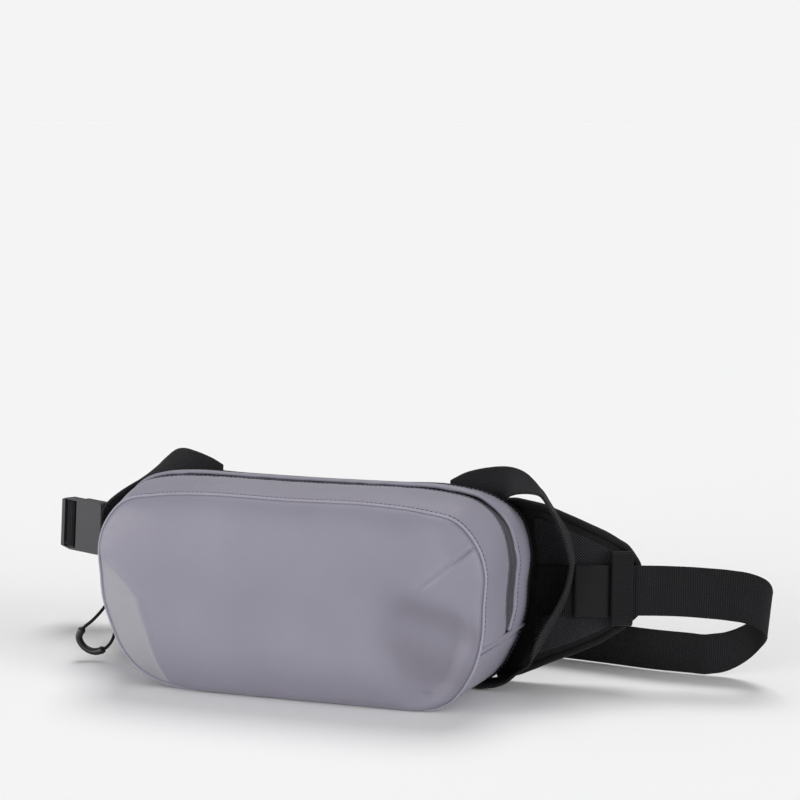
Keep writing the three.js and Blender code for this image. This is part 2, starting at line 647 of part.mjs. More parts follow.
function onWing(side, rows) {
  return rows.map(([reach, z]) => {
    const at = wingPoint(side, wingShare(reach), z, STRAP_OFF);
    const across = wingPoint(side, wingShare(reach), z, 0).sub(at).normalize();
    return { at, across };
  });
}

function strap(list) {
  return ribbon(stations(list.map((s) => s.at), list.map((s) => s.across), 18), STRAP, STRAP_THICK);
}

for (const side of ['left', 'right']) {
  add(`${side}_upper_strap`, strap([...sewnEnd(upperEnd[side]), ...onWing(side, upperRun[side])]), black());
  add(`${side}_lower_strap`, strap([...onWing(side, lowerRun), ...sewnEnd(lowerEnd[side])]), black());
}

// ---------- zip slider and its pull ----------
// Frame of the slider on the bag's left end: x out of the end, y along the zip (up), z towards the back.
const sliderStep = (() => {
  let best = -END_FOOT;
  for (let s = -END_FOOT; s < -8; s += 0.05) {
    if (shellPoint(s, ZIP_Y).z < SLIDER_Z) best = s;
  }
  return best;
})();
const seat = shellPoint(sliderStep, ZIP_Y, tapeIn);
const above = shellPoint(sliderStep + 3.2, ZIP_Y, tapeIn);
const runUp = above.clone().sub(seat).setY(0).normalize();
const out = v3(-runUp.z, 0, runUp.x);
const sliderFrame = new THREE.Matrix4()
  .makeBasis(out, runUp, out.clone().cross(runUp)).setPosition(seat);

const PIN_OUT = 5.2;              // from the tape to the middle of the pin
const PIN_R = 0.8;
const PIN_BORE = 1.1;
const outerPlate = block([0.9, -6.5, -4], [2.4, 6.5, 4]);
const innerPlate = block([-5.1, -6, -3.4], [-4, 6, 3.4]);
const neck = block([-4.4, -4, -0.3], [1.2, 4, 0.3]);
const earA = block([2, -2, -4], [7.2, 2, -2.7]);
const earB = block([2, -2, 2.7], [7.2, 2, 4]);
const pinHole = new THREE.CylinderGeometry(PIN_BORE, PIN_BORE, 12, 12)
  .rotateX(Math.PI / 2).translate(PIN_OUT, 0, 0);
const slider = [innerPlate, neck, earA, earB]
  .reduce((sum, piece) => sum.add(solid(piece)), solid(outerPlate))
  .subtract(solid(pinHole));
add('zip_slider', unsolid(slider).applyMatrix4(sliderFrame), finish(0x2a2a2d, 0.4, 0.6));
const pin = new THREE.CylinderGeometry(PIN_R, PIN_R, 8, 12).rotateX(Math.PI / 2).translate(PIN_OUT, 0, 0);
add('slider_pin', pin.applyMatrix4(sliderFrame), steel());

const pivot = v3(PIN_OUT, 0, 0).applyMatrix4(sliderFrame);

// The anchor hangs on the pin and takes both ends of the cord. The cord runs down and out, through the
// moulded grip and back, in an upright plane.
const CORD_Y = ZIP_Y;
const loop = [
  [-162.5, 52.5], [-167, 45.5], [-173, 38], [-180, 31], [-187, 25], [-190.8, 17.5], [-187, 10.5],
  [-178.5, 7.2], [-169.5, 10], [-163, 17], [-159.8, 27], [-158.9, 39], [-159.6, 50.5],
];
const anchorHub = new THREE.CylinderGeometry(2.2, 2.2, 4.6, 16).rotateX(Math.PI / 2);
const anchorFoot = block([-1.9, -8, -2.3], [2.1, -1.4, 2.3]);
const bore = new THREE.CylinderGeometry(1.15, 1.15, 12, 12).rotateX(Math.PI / 2);
const anchor = solid(anchorHub).add(solid(anchorFoot)).subtract(solid(bore));
const anchorFrame = new THREE.Matrix4().makeTranslation(pivot.x, pivot.y, pivot.z)
  .multiply(new THREE.Matrix4().makeRotationY(THREE.MathUtils.degToRad(12)))
  .multiply(new THREE.Matrix4().makeBasis(v3(-1, 0, 0), v3(0, 0, 1), v3(0, 1, 0)));
add('pull_anchor', unsolid(anchor).applyMatrix4(anchorFrame), moulded());

const loopPoints = loop.map(([x, z]) => v3(x, CORD_Y, z));
const loopCurve = new THREE.CatmullRomCurve3(loopPoints, false, 'centripetal');
function loopRun(from, to, count) {
  return Array.from({ length: count + 1 }, (_, i) => loopCurve.getPoint(lerp(from, to, i / count)));
}
const GRIP = [4 / 12, 8 / 12];
add('pull_cord_outer', tube(loopRun(0, GRIP[0] - 0.004, 5), CORD_R, 8, 9), black());
add('pull_grip', tube(loopRun(...GRIP, 8), GRIP_R, 10, 14), moulded());
add('pull_cord_inner', tube(loopRun(GRIP[1] + 0.004, 1, 5), CORD_R, 8, 9), black());

export default model;
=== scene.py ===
"""Looks of the waist pack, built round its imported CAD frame. Row frame: +Z up, the front faces -Y."""
import itertools
import math

import bmesh
import bpy
import numpy as np
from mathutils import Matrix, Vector, noise


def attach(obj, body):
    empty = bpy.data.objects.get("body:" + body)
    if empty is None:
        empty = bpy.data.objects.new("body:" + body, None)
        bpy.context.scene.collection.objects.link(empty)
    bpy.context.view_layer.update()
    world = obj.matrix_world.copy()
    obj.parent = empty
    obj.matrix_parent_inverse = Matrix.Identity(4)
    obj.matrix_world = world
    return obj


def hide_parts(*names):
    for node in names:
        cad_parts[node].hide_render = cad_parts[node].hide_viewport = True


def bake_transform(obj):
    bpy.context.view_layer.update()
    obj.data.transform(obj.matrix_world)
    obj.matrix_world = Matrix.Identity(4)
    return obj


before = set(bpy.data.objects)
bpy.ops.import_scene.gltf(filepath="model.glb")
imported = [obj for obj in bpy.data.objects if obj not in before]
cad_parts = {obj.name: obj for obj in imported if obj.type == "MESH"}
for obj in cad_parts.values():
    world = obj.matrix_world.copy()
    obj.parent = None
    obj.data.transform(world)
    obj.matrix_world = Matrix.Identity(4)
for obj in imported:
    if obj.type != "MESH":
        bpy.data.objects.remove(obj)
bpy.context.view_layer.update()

MM = 0.001

# The bag's driving dimensions, in millimetres, as the CAD source has them.
FRONT_Y, BACK_Y = -40.0, 40.0
TOP_CROWN = 4.5
BELLY = 19.0
ZIP_Y = 10.0
RING_STEPS = 64
END_FOOT = 19.5
PANEL_MIDDLE = (0.0, 66.0)
FRONT_HALF = [
    (0, 146.5), (62, 147), (102, 144), (126, 138.5), (141, 122), (146.8, 104), (145.8, 80), (144.6, 56),
    (138, 32), (122, 9), (98, 0), (50, 0), (0, 0),
]
BACK_HALF = [
    (0, 147), (60, 147.5), (100, 148), (131, 142.5), (152, 129), (160, 104), (158.4, 80), (156.6, 56),
    (149, 32), (133, 8), (106, 0), (54, 0), (0, 0),
]
WING_PLAN = {
    "right": [(109, 50.5), (132, 50.5), (152, 52.5), (176, 58), (205, 66), (233, 75)],
    "left": [(-109, 50.5), (-130, 50.7), (-148, 55), (-164, 66), (-178, 80.5), (-189, 95)],
}
WING_TOP = [(0, 136), (0.3, 138), (0.45, 134), (0.65, 123), (0.82, 113), (0.93, 104), (1, 92)]
WING_BOTTOM = [(0, 12), (0.3, 10), (0.42, 14), (0.6, 22), (0.78, 32), (0.93, 44), (1, 54)]

# The pull's cord: its route in the upright plane y = 10, from one side of the anchor to the other.
CORD_ROUTE = [
    (-162.5, 52.5), (-167, 45.5), (-173, 38), (-180, 31), (-187, 25), (-190.8, 17.5), (-187, 10.5),
    (-178.5, 7.2), (-169.5, 10), (-163, 17), (-159.8, 27), (-158.9, 39), (-159.6, 50.5),
]
CORD_RADIUS = 1.25
GRIP_RADIUS = 2.7
GRIP_SHARE = (4 / 12, 8 / 12)


# ---------- curves and surfaces ----------
TINY = 1e-12
FLOOR_GAP = 0.1     # the cloth's least height over the floor, in millimetres


def catmull(points, at, closed=False):
    """Centripetal Catmull-Rom through the points, at shares 0 to 1 of the whole run."""
    points = np.asarray(points, float)
    at = np.atleast_1d(np.asarray(at, float))
    count = len(points)
    spans = count if closed else count - 1
    place = (at % 1.0 if closed else np.clip(at, 0, 1)) * spans
    seg = np.minimum(place.astype(int), spans - 1)
    w = (place - seg)[:, None]
    if closed:
        p0, p1, p2, p3 = (points[(seg + k) % count] for k in (-1, 0, 1, 2))
    else:
        ends = np.vstack([2 * points[0] - points[1], points, 2 * points[-1] - points[-2]])
        p0, p1, p2, p3 = (ends[seg + k] for k in range(4))
    d0, d1, d2 = (
        np.sqrt(np.maximum(np.linalg.norm(b - a, axis=1), TINY))[:, None]
        for a, b in ((p0, p1), (p1, p2), (p2, p3))
    )
    t1 = ((p1 - p0) / d0 - (p2 - p0) / (d0 + d1) + (p2 - p1) / d1) * d1
    t2 = ((p2 - p1) / d1 - (p3 - p1) / (d1 + d2) + (p3 - p2) / d2) * d1
    square = -3 * p1 + 3 * p2 - 2 * t1 - t2
    cube = 2 * p1 - 2 * p2 + t1 + t2
    return p1 + t1 * w + square * w**2 + cube * w**3


def smoothstep(x, low, high):
    t = np.clip((np.asarray(x, float) - low) / (high - low), 0, 1)
    return t * t * (3 - 2 * t)


def bell(away, width):
    """A smooth hump, 1 in the middle and almost nothing at twice its width."""
    return np.exp(-((away / width) ** 2))


def running(points):
    """Distance run along the points, from the first to each."""
    steps = np.linalg.norm(np.diff(points, axis=0), axis=1)
    return np.concatenate([[0], np.cumsum(steps)])


def loop_of(half):
    return half + [(-x, z) for x, z in half[-2:0:-1]]


FRONT_LOOP, BACK_LOOP = loop_of(FRONT_HALF), loop_of(BACK_HALF)


def shell(step, y, out=0.0):
    """Points of the gusset: step round the outline from the top centre, depth y, height over the cloth."""
    step, y, out = np.broadcast_arrays(*(np.asarray(v, float) for v in (step, y, out)))
    shape = step.shape
    u = step.ravel() / RING_STEPS
    depth = (y.ravel() - FRONT_Y) / (BACK_Y - FRONT_Y)

    def blended(share):
        front = catmull(FRONT_LOOP, share, True)
        return front + (catmull(BACK_LOOP, share, True) - front) * depth[:, None]

    p = blended(u)
    p[:, 1] = np.maximum(p[:, 1], 0)
    tangent = blended(u + 0.002) - blended(u - 0.002)
    outward = np.stack([-tangent[:, 1], tangent[:, 0]], 1)
    outward /= np.linalg.norm(outward, axis=1)[:, None]
    crown = TOP_CROWN * np.sin(np.pi * np.clip(depth, 0, 1)) * smoothstep(p[:, 1], 105, 145)
    p = tucked(p + outward * out.ravel()[:, None], y.ravel())
    height = np.maximum(p[:, 1] + crown, FLOOR_GAP)
    return np.stack([p[:, 0], y.ravel(), height], 1).reshape(*shape, 3) * MM


def tucked(p, y):
    """The lower left front corner is pressed in and up, where the bag is half empty."""
    front = smoothstep(-y, -15, 38)
    low = smoothstep(78 - p[:, 1], 0, 45)
    end = smoothstep(-p[:, 0], 85, 138)
    lift = smoothstep(-p[:, 0], 62, 118) * smoothstep(34 - p[:, 1], 0, 30)
    return p + np.stack([5.0 * front * low * end, 5.5 * front * lift], 1)


class WingCurve:
    """One hip wing's plan line, and points in front of it."""

    def __init__(self, side):
        self.sign = 1 if side == "right" else -1
        self.line = catmull(WING_PLAN[side], np.linspace(0, 1, 400))
        self.reach = running(self.line)
        self.length = self.reach[-1]

    def on_line(self, at):
        return np.stack([np.interp(at, self.reach, self.line[:, k]) for k in (0, 1)], 1)

    def point(self, share, z, off):
        """Points at shares of the wing's length and heights z, off millimetres in front of its plan line."""
        share, z, off = np.broadcast_arrays(*(np.asarray(v, float) for v in (share, z, off)))
        at = np.clip(share.ravel(), 0, 1) * self.length
        plan = [self.on_line(at + step) for step in (-1, 0, 1)]
        tangent = plan[2] - plan[0]
        tangent /= np.linalg.norm(tangent, axis=1)[:, None]
        beyond = (share.ravel() * self.length - at)[:, None] * tangent
        normal = np.stack([tangent[:, 1], -tangent[:, 0]], 1) * self.sign
        p = plan[1] + normal * off.ravel()[:, None] + beyond
        return np.stack([p[:, 0], p[:, 1], z.ravel()], 1).reshape(*share.shape, 3) * MM


WINGS = {side: WingCurve(side) for side in WING_PLAN}
WING_ROOT = 41.0


def wing_share(reach):
    """Share of a wing at a reach that counts from x = 150, in lengths of the right wing on both sides."""
    return (reach + WING_ROOT) / WINGS["right"].length


def wing_edge(table, share):
    return np.interp(share, [s for s, _ in table], [z for _, z in table])


# ---------- mesh building ----------
def mesh_piece(name, points, faces, uvs=None):
    mesh = bpy.data.meshes.new(name)
    mesh.from_pydata([tuple(p) for p in points], [], [tuple(f) for f in faces])
    if uvs is not None:
        layer = mesh.uv_layers.new(name="weave")
        corners = np.array([loop.vertex_index for loop in mesh.loops])
        layer.data.foreach_set("uv", np.asarray(uvs)[corners].astype(np.float32).ravel())
    shade_smooth(mesh)
    return linked(name, mesh)


def linked(name, data):
    obj = bpy.data.objects.new(name, data)
    bpy.context.scene.collection.objects.link(obj)
    return obj


def shade_smooth(mesh):
    mesh.polygons.foreach_set("use_smooth", [True] * len(mesh.polygons))


def points_of(obj):
    return np.array([v.co for v in obj.data.vertices])


def normals_of(obj):
    return np.array([v.normal for v in obj.data.vertices])


def set_points(obj, points):
    obj.data.vertices.foreach_set("co", points.astype(np.float32).ravel())


def grid_faces(rows, columns, wrap_rows, wrap_columns, start=0):
    faces = []
    for i in range(rows if wrap_rows else rows - 1):
        k = (i + 1) % rows
        for j in range(columns if wrap_columns else columns - 1):
            m = (j + 1) % columns
            faces.append([start + i * columns + j, start + k * columns + j,
                          start + k * columns + m, start + i * columns + m])
    return faces


def grid_uvs(grid):
    """Metres along the rows and the columns, measured on the middle column and each row."""
    rows, columns = grid.shape[:2]
    along = running(grid[:, columns // 2])
    uv = np.zeros((rows, columns, 2))
    uv[:, :, 0] = along[:, None]
    for i in range(rows):
        across = running(grid[i])
        uv[i, :, 1] = across - across[-1] / 2
    return uv


def turn_out(obj):
    bm = bmesh.new()
    bm.from_mesh(obj.data)
    bmesh.ops.recalc_face_normals(bm, faces=bm.faces)
    bm.to_mesh(obj.data)
    bm.free()
    return obj


def slab_piece(name, face, back):
    """A closed sheet between two matching grids of points."""
    rows, columns = face.shape[:2]
    count = rows * columns
    faces = grid_faces(rows, columns, False, False)
    faces += [[count + v for v in reversed(f)] for f in faces]
    rim = [i * columns for i in range(rows)]
    rim += [(rows - 1) * columns + j for j in range(1, columns)]
    rim += [i * columns + columns - 1 for i in range(rows - 2, -1, -1)]
    rim += list(range(columns - 2, 0, -1))
    for a, b in zip(rim, rim[1:] + rim[:1]):
        faces.append([a, b, count + b, count + a])
    uv = np.concatenate([grid_uvs(face).reshape(-1, 2), grid_uvs(back).reshape(-1, 2)])
    points = np.concatenate([face.reshape(-1, 3), back.reshape(-1, 3)])
    return turn_out(mesh_piece(name, points, faces, uv))


def sweep_piece(name, middles, sides, profile, closed=False):
    """A solid swept along middles: profile is a closed run of (along the side, along the normal)."""
    ahead = np.roll(middles, -1, 0) if closed else np.vstack([middles[1:], middles[-1:]])
    behind = np.roll(middles, 1, 0) if closed else np.vstack([middles[:1], middles[:-1]])
    tangent = ahead - behind
    tangent /= np.linalg.norm(tangent, axis=1)[:, None]
    sides = sides / np.linalg.norm(sides, axis=1)[:, None]
    normals = np.cross(tangent, sides)
    normals /= np.linalg.norm(normals, axis=1)[:, None]
    profile = np.asarray(profile)
    grid = (middles[:, None, :] + sides[:, None, :] * profile[None, :, 0:1]
            + normals[:, None, :] * profile[None, :, 1:2])
    rows, columns = grid.shape[:2]
    faces = grid_faces(rows, columns, closed, True)
    if not closed:
        faces += [list(range(columns)), [(rows - 1) * columns + j for j in reversed(range(columns))]]
    along = running(middles)
    uv = np.stack(np.broadcast_arrays(along[:, None], profile[None, :, 0]), 2).reshape(-1, 2)
    return turn_out(mesh_piece(name, grid.reshape(-1, 3), faces, uv))


def disc_piece(name, face):
    """An open sheet: rows go round the rim and columns inward, and the last column closes to a point."""
    around, rings = face.shape[0], face.shape[1] - 1
    points = np.vstack([face[:, :rings].reshape(-1, 3), face[:, -1].mean(0)])
    faces = grid_faces(around, rings, True, False)
    inner = [row * rings + rings - 1 for row in range(around)]
    faces += [[a, b, around * rings] for a, b in zip(inner, inner[1:] + inner[:1])]
    return turn_out(mesh_piece(name, points, faces))


def circle_profile(radius, sides=10):
    turn = np.linspace(0, 2 * np.pi, sides, endpoint=False)
    return np.stack([np.cos(turn), np.sin(turn)], 1) * radius


SELVEDGE_BEAD = 0.18


def webbing_profile(width, thickness):
    """A flat strap's section with round selvedges that stand a little proud of the middle."""
    half, r = width / 2, thickness / 2
    s = half * np.sin(np.linspace(-np.pi / 2, np.pi / 2, 19))
    edge = np.clip((np.abs(s) - (half - r)) / r, 0, 1)
    bead = SELVEDGE_BEAD * bell(np.abs(s) - half + 1.6 * r, r)
    height = r * np.sqrt(1 - edge**2) * (1 + bead)
    upper = np.stack([s, height], 1)
    lower = np.stack([s[-2:0:-1], -height[-2:0:-1]], 1)
    return np.concatenate([upper, lower])


CORNERS = 4
STATION_GAP = 1.2


def layers_from(first, near):
    """Rings of four corners, one by one from the first, or None if first isn't an end of the ribbon."""
    layers, seen, layer = [], set(), set(first)
    while layer:
        if len(layer) != CORNERS:
            return None
        layers.append(sorted(layer))
        seen |= layer
        layer = set().union(*(near[v] for v in layer)) - seen
    return layers


def stations_of(node, start):
    """Middles and width directions of a CAD ribbon, station by station, from the end nearest start."""
    bm = bmesh.new()
    bm.from_mesh(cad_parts[node].data)
    bmesh.ops.remove_doubles(bm, verts=bm.verts, dist=0.01 * MM)
    bm.verts.ensure_lookup_table()
    points = np.array([v.co for v in bm.verts], float)
    near = [set(e.other_vert(v).index for e in v.link_edges) for v in bm.verts]
    bm.free()
    order = np.argsort(np.linalg.norm(points - np.asarray(start) * MM, axis=1))
    ends = itertools.combinations(order[:3 * CORNERS].tolist(), CORNERS)
    layers = next(filter(None, (layers_from(first, near) for first in ends)), None)
    if layers is None:
        raise ValueError(f"no end of {node} is near {start}")
    middles, sides = [], []
    for layer in layers:
        ring = points[layer]
        side = np.linalg.svd(ring - ring.mean(0))[2][0]
        if sides and side @ sides[-1] < 0:
            side = -side
        middles.append(ring.mean(0))
        sides.append(side)
    return np.array(middles), np.array(sides)


def joined_stations(*runs):
    """Several runs of stations, end to end, as one."""
    middles, sides = runs[0]
    for more, turns in runs[1:]:
        if turns[0] @ sides[-1] < 0:
            turns = -turns
        keep = np.linalg.norm(more - middles[-1], axis=1) > STATION_GAP * MM
        middles = np.vstack([middles, more[keep]])
        sides = np.vstack([sides, turns[keep]])
    return middles, sides


def ribbon(name, run, width, thickness, spacing=2.0):
    middles, sides = run
    count = max(8, int(running(middles)[-1] / (spacing * MM)))
    at = np.linspace(0, 1, count)
    profile = webbing_profile(width * MM, thickness * MM)
    return sweep_piece(name, catmull(middles, at), catmull(sides, at), profile)


# ---------- materials ----------
class Finish:
    """A procedural material: one Principled shader and short helpers for the nodes that feed it."""

    def __init__(self, name, **constants):
        self.material = bpy.data.materials.new(name)
        self.material.use_nodes = True
        self.tree = self.material.node_tree
        self.shader = self.tree.nodes["Principled BSDF"]
        for key, value in constants.items():
            self.shader.inputs[SOCKETS[key]].default_value = value

    def node(self, kind, inputs, **settings):
        node = self.tree.nodes.new("ShaderNode" + kind)
        for key, value in settings.items():
            setattr(node, key, value)
        for socket, value in inputs.items():
            if isinstance(value, bpy.types.NodeSocket):
                self.tree.links.new(value, node.inputs[socket])
            else:
                node.inputs[socket].default_value = value
        return node

    def math(self, operation, a, b=0.0):
        return self.node("Math", {0: a, 1: b}, operation=operation).outputs[0]

    def place(self):
        """The point in the row frame at rest, in metres."""
        return self.node("TexCoord", {}).outputs["Object"]

    def along_across(self):
        """Metres along and across a strap or strip."""
        uv = self.node("UVMap", {}, uv_map="weave").outputs[0]
        parts = self.node("SeparateXYZ", {0: uv})
        return parts.outputs[0], parts.outputs[1]

    def parts(self):
        parts = self.node("SeparateXYZ", {0: self.place()})
        return parts.outputs

    def noise(self, scale, detail=3.0):
        node = self.node("TexNoise", {"Vector": self.place(), "Scale": scale, "Detail": detail})
        return node.outputs[0]

    def wave(self, value, pitch):
        """A sine between 0 and 1 that repeats every pitch metres."""
        turned = self.math("SINE", self.math("MULTIPLY", value, 2 * math.pi / pitch))
        return self.span(turned, -1, 1, 0, 1)

    def span(self, value, low, high, to_low, to_high):
        inputs = {"Value": value, "From Min": low, "From Max": high, "To Min": to_low, "To Max": to_high}
        return self.node("MapRange", inputs).outputs[0]

    def mix(self, share, under, over):
        """Mixes two colours; under may also be a colour socket."""
        if not isinstance(under, bpy.types.NodeSocket):
            under = (*under, 1)
        node = self.node("Mix", {0: share, 6: under, 7: (*over, 1)}, data_type="RGBA")
        return node.outputs[2]

    def bump(self, height, distance, strength=1.0, over=None):
        inputs = {"Height": height, "Distance": distance, "Strength": strength}
        if over is not None:
            inputs["Normal"] = over
        return self.node("Bump", inputs).outputs[0]

    def set(self, socket, value):
        self.tree.links.new(value, self.shader.inputs[socket])


SOCKETS = {
    "roughness": "Roughness", "metallic": "Metallic", "specular": "Specular IOR Level",
    "sheen": "Sheen Weight", "sheen_roughness": "Sheen Roughness", "coat": "Coat Weight",
    "coat_roughness": "Coat Roughness",
}


def linear(*rgb):
    """sRGB bytes as linear values."""
    return tuple((c / 255 / 12.92) if c < 10 else ((c / 255 + 0.055) / 1.055) ** 2.4 for c in rgb)


def scaled(colour, share):
    return tuple(c * share for c in colour)


LILAC = linear(126, 123, 136)
BLACK = linear(17, 17, 19)
# Silvery colour of the painted highlight on the front panel's facet.
HIGHLIGHT_SILVER = linear(139, 138, 144)


def coated_fabric(name, colour):
    """Matt coated cloth with faint clouds of tone and a fine pebble grain. A mesh's tone attribute, from
    -1 to 1, carries painted shade where it is below 0 and a silvery painted highlight where it is above 0."""
    f = Finish(name, specular=0.42, sheen=0.08, sheen_roughness=0.4)
    clouds = f.noise(14, 2)
    fine = f.noise(1500, 2)
    grain = f.noise(420, 3)
    tone = f.span(clouds, 0.3, 0.7, 0.0, 1.0)
    # The tone attribute: below 0 it paints shade, above 0 a silvery painted highlight.
    marks = f.node("Attribute", {}, attribute_name="tone").outputs["Fac"]
    cloth = f.mix(tone, scaled(colour, 0.95), scaled(colour, 1.05))
    hollow_share = f.span(marks, -1, 0, 1, 0)
    highlight_share = f.span(marks, 0, 1, 0, 1)
    # Painted shade darkens the cloth to 0.7 of its colour, and the painted highlight turns it silvery.
    painted_shade = f.mix(hollow_share, cloth, scaled(colour, 0.70))
    f.set("Base Color", f.mix(highlight_share, painted_shade, HIGHLIGHT_SILVER))
    f.set("Roughness", f.span(grain, 0.3, 0.7, 0.46, 0.6))
    low = f.bump(f.noise(45, 3), 0.0006, 0.5)
    f.set("Normal", f.bump(f.math("ADD", grain, fine), 0.00012, 0.55, low))
    return f.material


def weave(name, colour, pitch, kind, roughness=0.82, depth=0.0004, light=1.9):
    """Woven webbing. kind is plain, ribbed, twill or chevron; pitch is in metres. Raised threads are painted
    lighter and the grooves darker, a painted highlight and painted shade on the weave.
    """
    f = Finish(name, specular=0.2, sheen=0.03, sheen_roughness=0.5)
    along, across = f.along_across()
    if kind == "ribbed":
        height = f.wave(along, pitch)
        height = f.math("MULTIPLY", height, f.span(f.wave(across, pitch * 0.8), 0, 1, 0.75, 1.0))
    elif kind == "plain":
        height = f.math("MULTIPLY", f.wave(along, pitch), f.span(f.wave(across, pitch), 0, 1, 0.35, 1.0))
    elif kind == "twill":
        height = f.wave(f.math("ADD", along, f.math("MULTIPLY", across, 1.4)), pitch)
    else:
        fold = f.math("PINGPONG", f.math("ADD", along, 1.0), 0.011)
        lines = f.math("ADD", f.math("MULTIPLY", fold, 1.1), across)
        height = f.wave(lines, pitch)
    fuzz = f.noise(2200, 2)
    raised = f.math("ADD", height, f.math("MULTIPLY", fuzz, 0.35))
    # Painted highlight on the raised threads and painted shade in the grooves, mixed with random patches of
    # tone.
    tone = f.math("MULTIPLY", raised, f.span(f.noise(30, 3), 0.3, 0.7, 0.65, 1.0))
    f.set("Base Color", f.mix(tone, scaled(colour, 0.55), scaled(colour, light)))
    f.set("Roughness", f.span(fuzz, 0.2, 0.8, roughness - 0.08, roughness + 0.08))
    f.set("Normal", f.bump(raised, depth, 0.9))
    return f.material


def spacer_mesh(name, colour):
    """Knitted spacer fabric with rows of small open cells."""
    pitch = 0.0035
    f = Finish(name, roughness=0.88, specular=0.18, sheen=0.04)
    x, _, z = f.parts()
    slants = [f.wave(f.math(way, x, z), pitch) for way in ("ADD", "SUBTRACT")]
    cells = f.math("MULTIPLY", *slants)
    holes = f.span(cells, 0.25, 0.7, 0.0, 1.0)
    yarn = f.noise(1800, 2)
    # The open cells are painted dark, a painted shade inside them.
    f.set("Base Color", f.mix(holes, scaled(colour, 1.6), scaled(colour, 0.3)))
    height = f.math("SUBTRACT", f.math("MULTIPLY", yarn, 0.3), holes)
    f.set("Normal", f.bump(height, 0.0007, 0.9))
    return f.material


def smooth_cloth(name, colour, pitch=0.0008):
    """Tight plain cloth, with the threads just visible."""
    f = Finish(name, specular=0.18, sheen=0.03, sheen_roughness=0.5)
    x, y, z = f.parts()
    level = f.math("ADD", x, y)
    threads = f.math("MULTIPLY", f.wave(level, pitch), f.wave(z, pitch))
    f.set("Base Color", f.mix(f.noise(40, 4), scaled(colour, 0.75), scaled(colour, 1.4)))
    f.set("Roughness", f.span(f.noise(300, 2), 0.3, 0.7, 0.72, 0.88))
    f.set("Normal", f.bump(f.math("ADD", threads, f.noise(900, 2)), 0.00015, 0.7))
    return f.material


def moulded(name, colour, roughness=0.5, grain=0.00008, metallic=0.0, scale=1400):
    """Moulded plastic or painted metal with an eroded grain that wears smoother in patches."""
    f = Finish(name, specular=0.45, metallic=metallic)
    texture = f.noise(scale, 2)
    marks = f.noise(60, 4)
    f.set("Base Color", f.mix(marks, scaled(colour, 0.85), scaled(colour, 1.2)))
    f.set("Roughness", f.span(marks, 0.3, 0.7, roughness - 0.07, roughness + 0.07))
    f.set("Normal", f.bump(texture, grain, 0.8))
    return f.material


def zip_cloth():
    """Smooth coated zip tape: faint ribs across it and a soft shine."""
    f = Finish("zip_tape", specular=0.5, coat=0.15, coat_roughness=0.35)
    along, across = f.along_across()
    ribs = f.math("ADD", f.wave(along, 0.0011), f.wave(across, 0.0014))
    shade = linear(66, 65, 70)
    f.set("Base Color", f.mix(f.noise(35, 3), scaled(shade, 0.8), scaled(shade, 1.25)))
    f.set("Roughness", f.span(f.noise(200, 2), 0.3, 0.7, 0.42, 0.58))
    f.set("Normal", f.bump(ribs, 0.00012, 0.8))
    return f.material


COATED = coated_fabric("coated_fabric", LILAC)
# A lighter copy of the coated cloth, a painted highlight for the front welt.
COATED_HIGHLIGHT_COPY = coated_fabric("coated_highlight_copy", scaled(LILAC, 1.3))
BELT_WEAVE = weave("belt_weave", BLACK, 0.0017, "plain", depth=0.0006, light=2.6)
STRAP_WEAVE = weave("strap_weave", BLACK, 0.0022, "twill", depth=0.0012, light=4.2)
RIB_WEAVE = weave("rib_weave", BLACK, 0.0016, "ribbed")
CHEVRON = weave("chevron_mesh", BLACK, 0.0022, "chevron", depth=0.0012, light=6.5)
LABEL = weave("label_weave", BLACK, 0.0007, "plain", roughness=0.6, depth=0.00015)
BORDER = smooth_cloth("wing_cloth", BLACK)
SPACER = spacer_mesh("spacer_mesh", linear(22, 22, 25))
LINING = smooth_cloth("lining_cloth", linear(150, 148, 158), 0.0009)
BOARD = moulded("board", linear(38, 38, 42), 0.55)
ZIP_TAPE = zip_cloth()
BUCKLE = moulded("buckle_plastic", linear(52, 52, 55), 0.5, 0.00022, scale=1100)
COIL = moulded("zip_coil", linear(22, 22, 24), 0.35, 0.0001, scale=900)
STEEL = moulded("steel", linear(190, 192, 196), 0.28, 0.00003, metallic=1.0)
SLIDER = moulded("slider_metal", linear(44, 44, 47), 0.35, 0.00004, metallic=0.7)
RUBBER = moulded("grip_rubber", linear(18, 18, 20), 0.4, 0.00006)
CORD = weave("cord_braid", linear(12, 12, 13), 0.0018, "twill", depth=0.0003)
THREAD = moulded("lilac_thread", linear(104, 99, 116), 0.6, 0.00005, scale=2500)


def keep(obj, material, body, slot, *nodes):
    """Gives a new piece its material and its body, and hides the nodes that it stands for; the slot is not
    used.
    """
    obj.data.materials.clear()
    obj.data.materials.append(material)
    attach(obj, body)
    if nodes:
        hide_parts(*nodes)
    return obj


# ---------- camera and cord, first ----------
CAMERA_PLACE = (0.49779, -1.36767, 0.43288)
CAMERA_DOWN, CAMERA_ROUND = 8.586, 17.266


def make_camera():
    data = bpy.data.cameras.new("camera")
    data.sensor_width = 36
    data.lens = 90.9
    data.clip_start = 0.05
    camera = linked("camera", data)
    camera.location = CAMERA_PLACE
    camera.rotation_euler = (math.radians(90 - CAMERA_DOWN), 0, math.radians(CAMERA_ROUND))
    bpy.context.scene.camera = camera


def cord_point(share):
    xz = catmull(CORD_ROUTE, share)
    return np.stack([xz[:, 0], np.full(len(xz), ZIP_Y), xz[:, 1]], 1) * MM


GRIP_ROWS, GRIP_SIDES = 60, 18


def make_cord(line):
    curve = bpy.data.curves.new("pull_cord", "CURVE")
    curve.dimensions = "3D"
    curve.bevel_depth = CORD_RADIUS * MM
    curve.bevel_resolution = 4
    curve.use_fill_caps = True
    spline = curve.splines.new("POLY")
    spline.points.add(len(line) - 1)
    spline.points.foreach_set("co", np.c_[line, np.ones(len(line))].ravel())
    cord = linked("pull_cord", curve)
    curve.materials.append(CORD)
    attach(cord, "zip_pull")
    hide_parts("pull_cord_outer", "pull_cord_inner")
    return cord


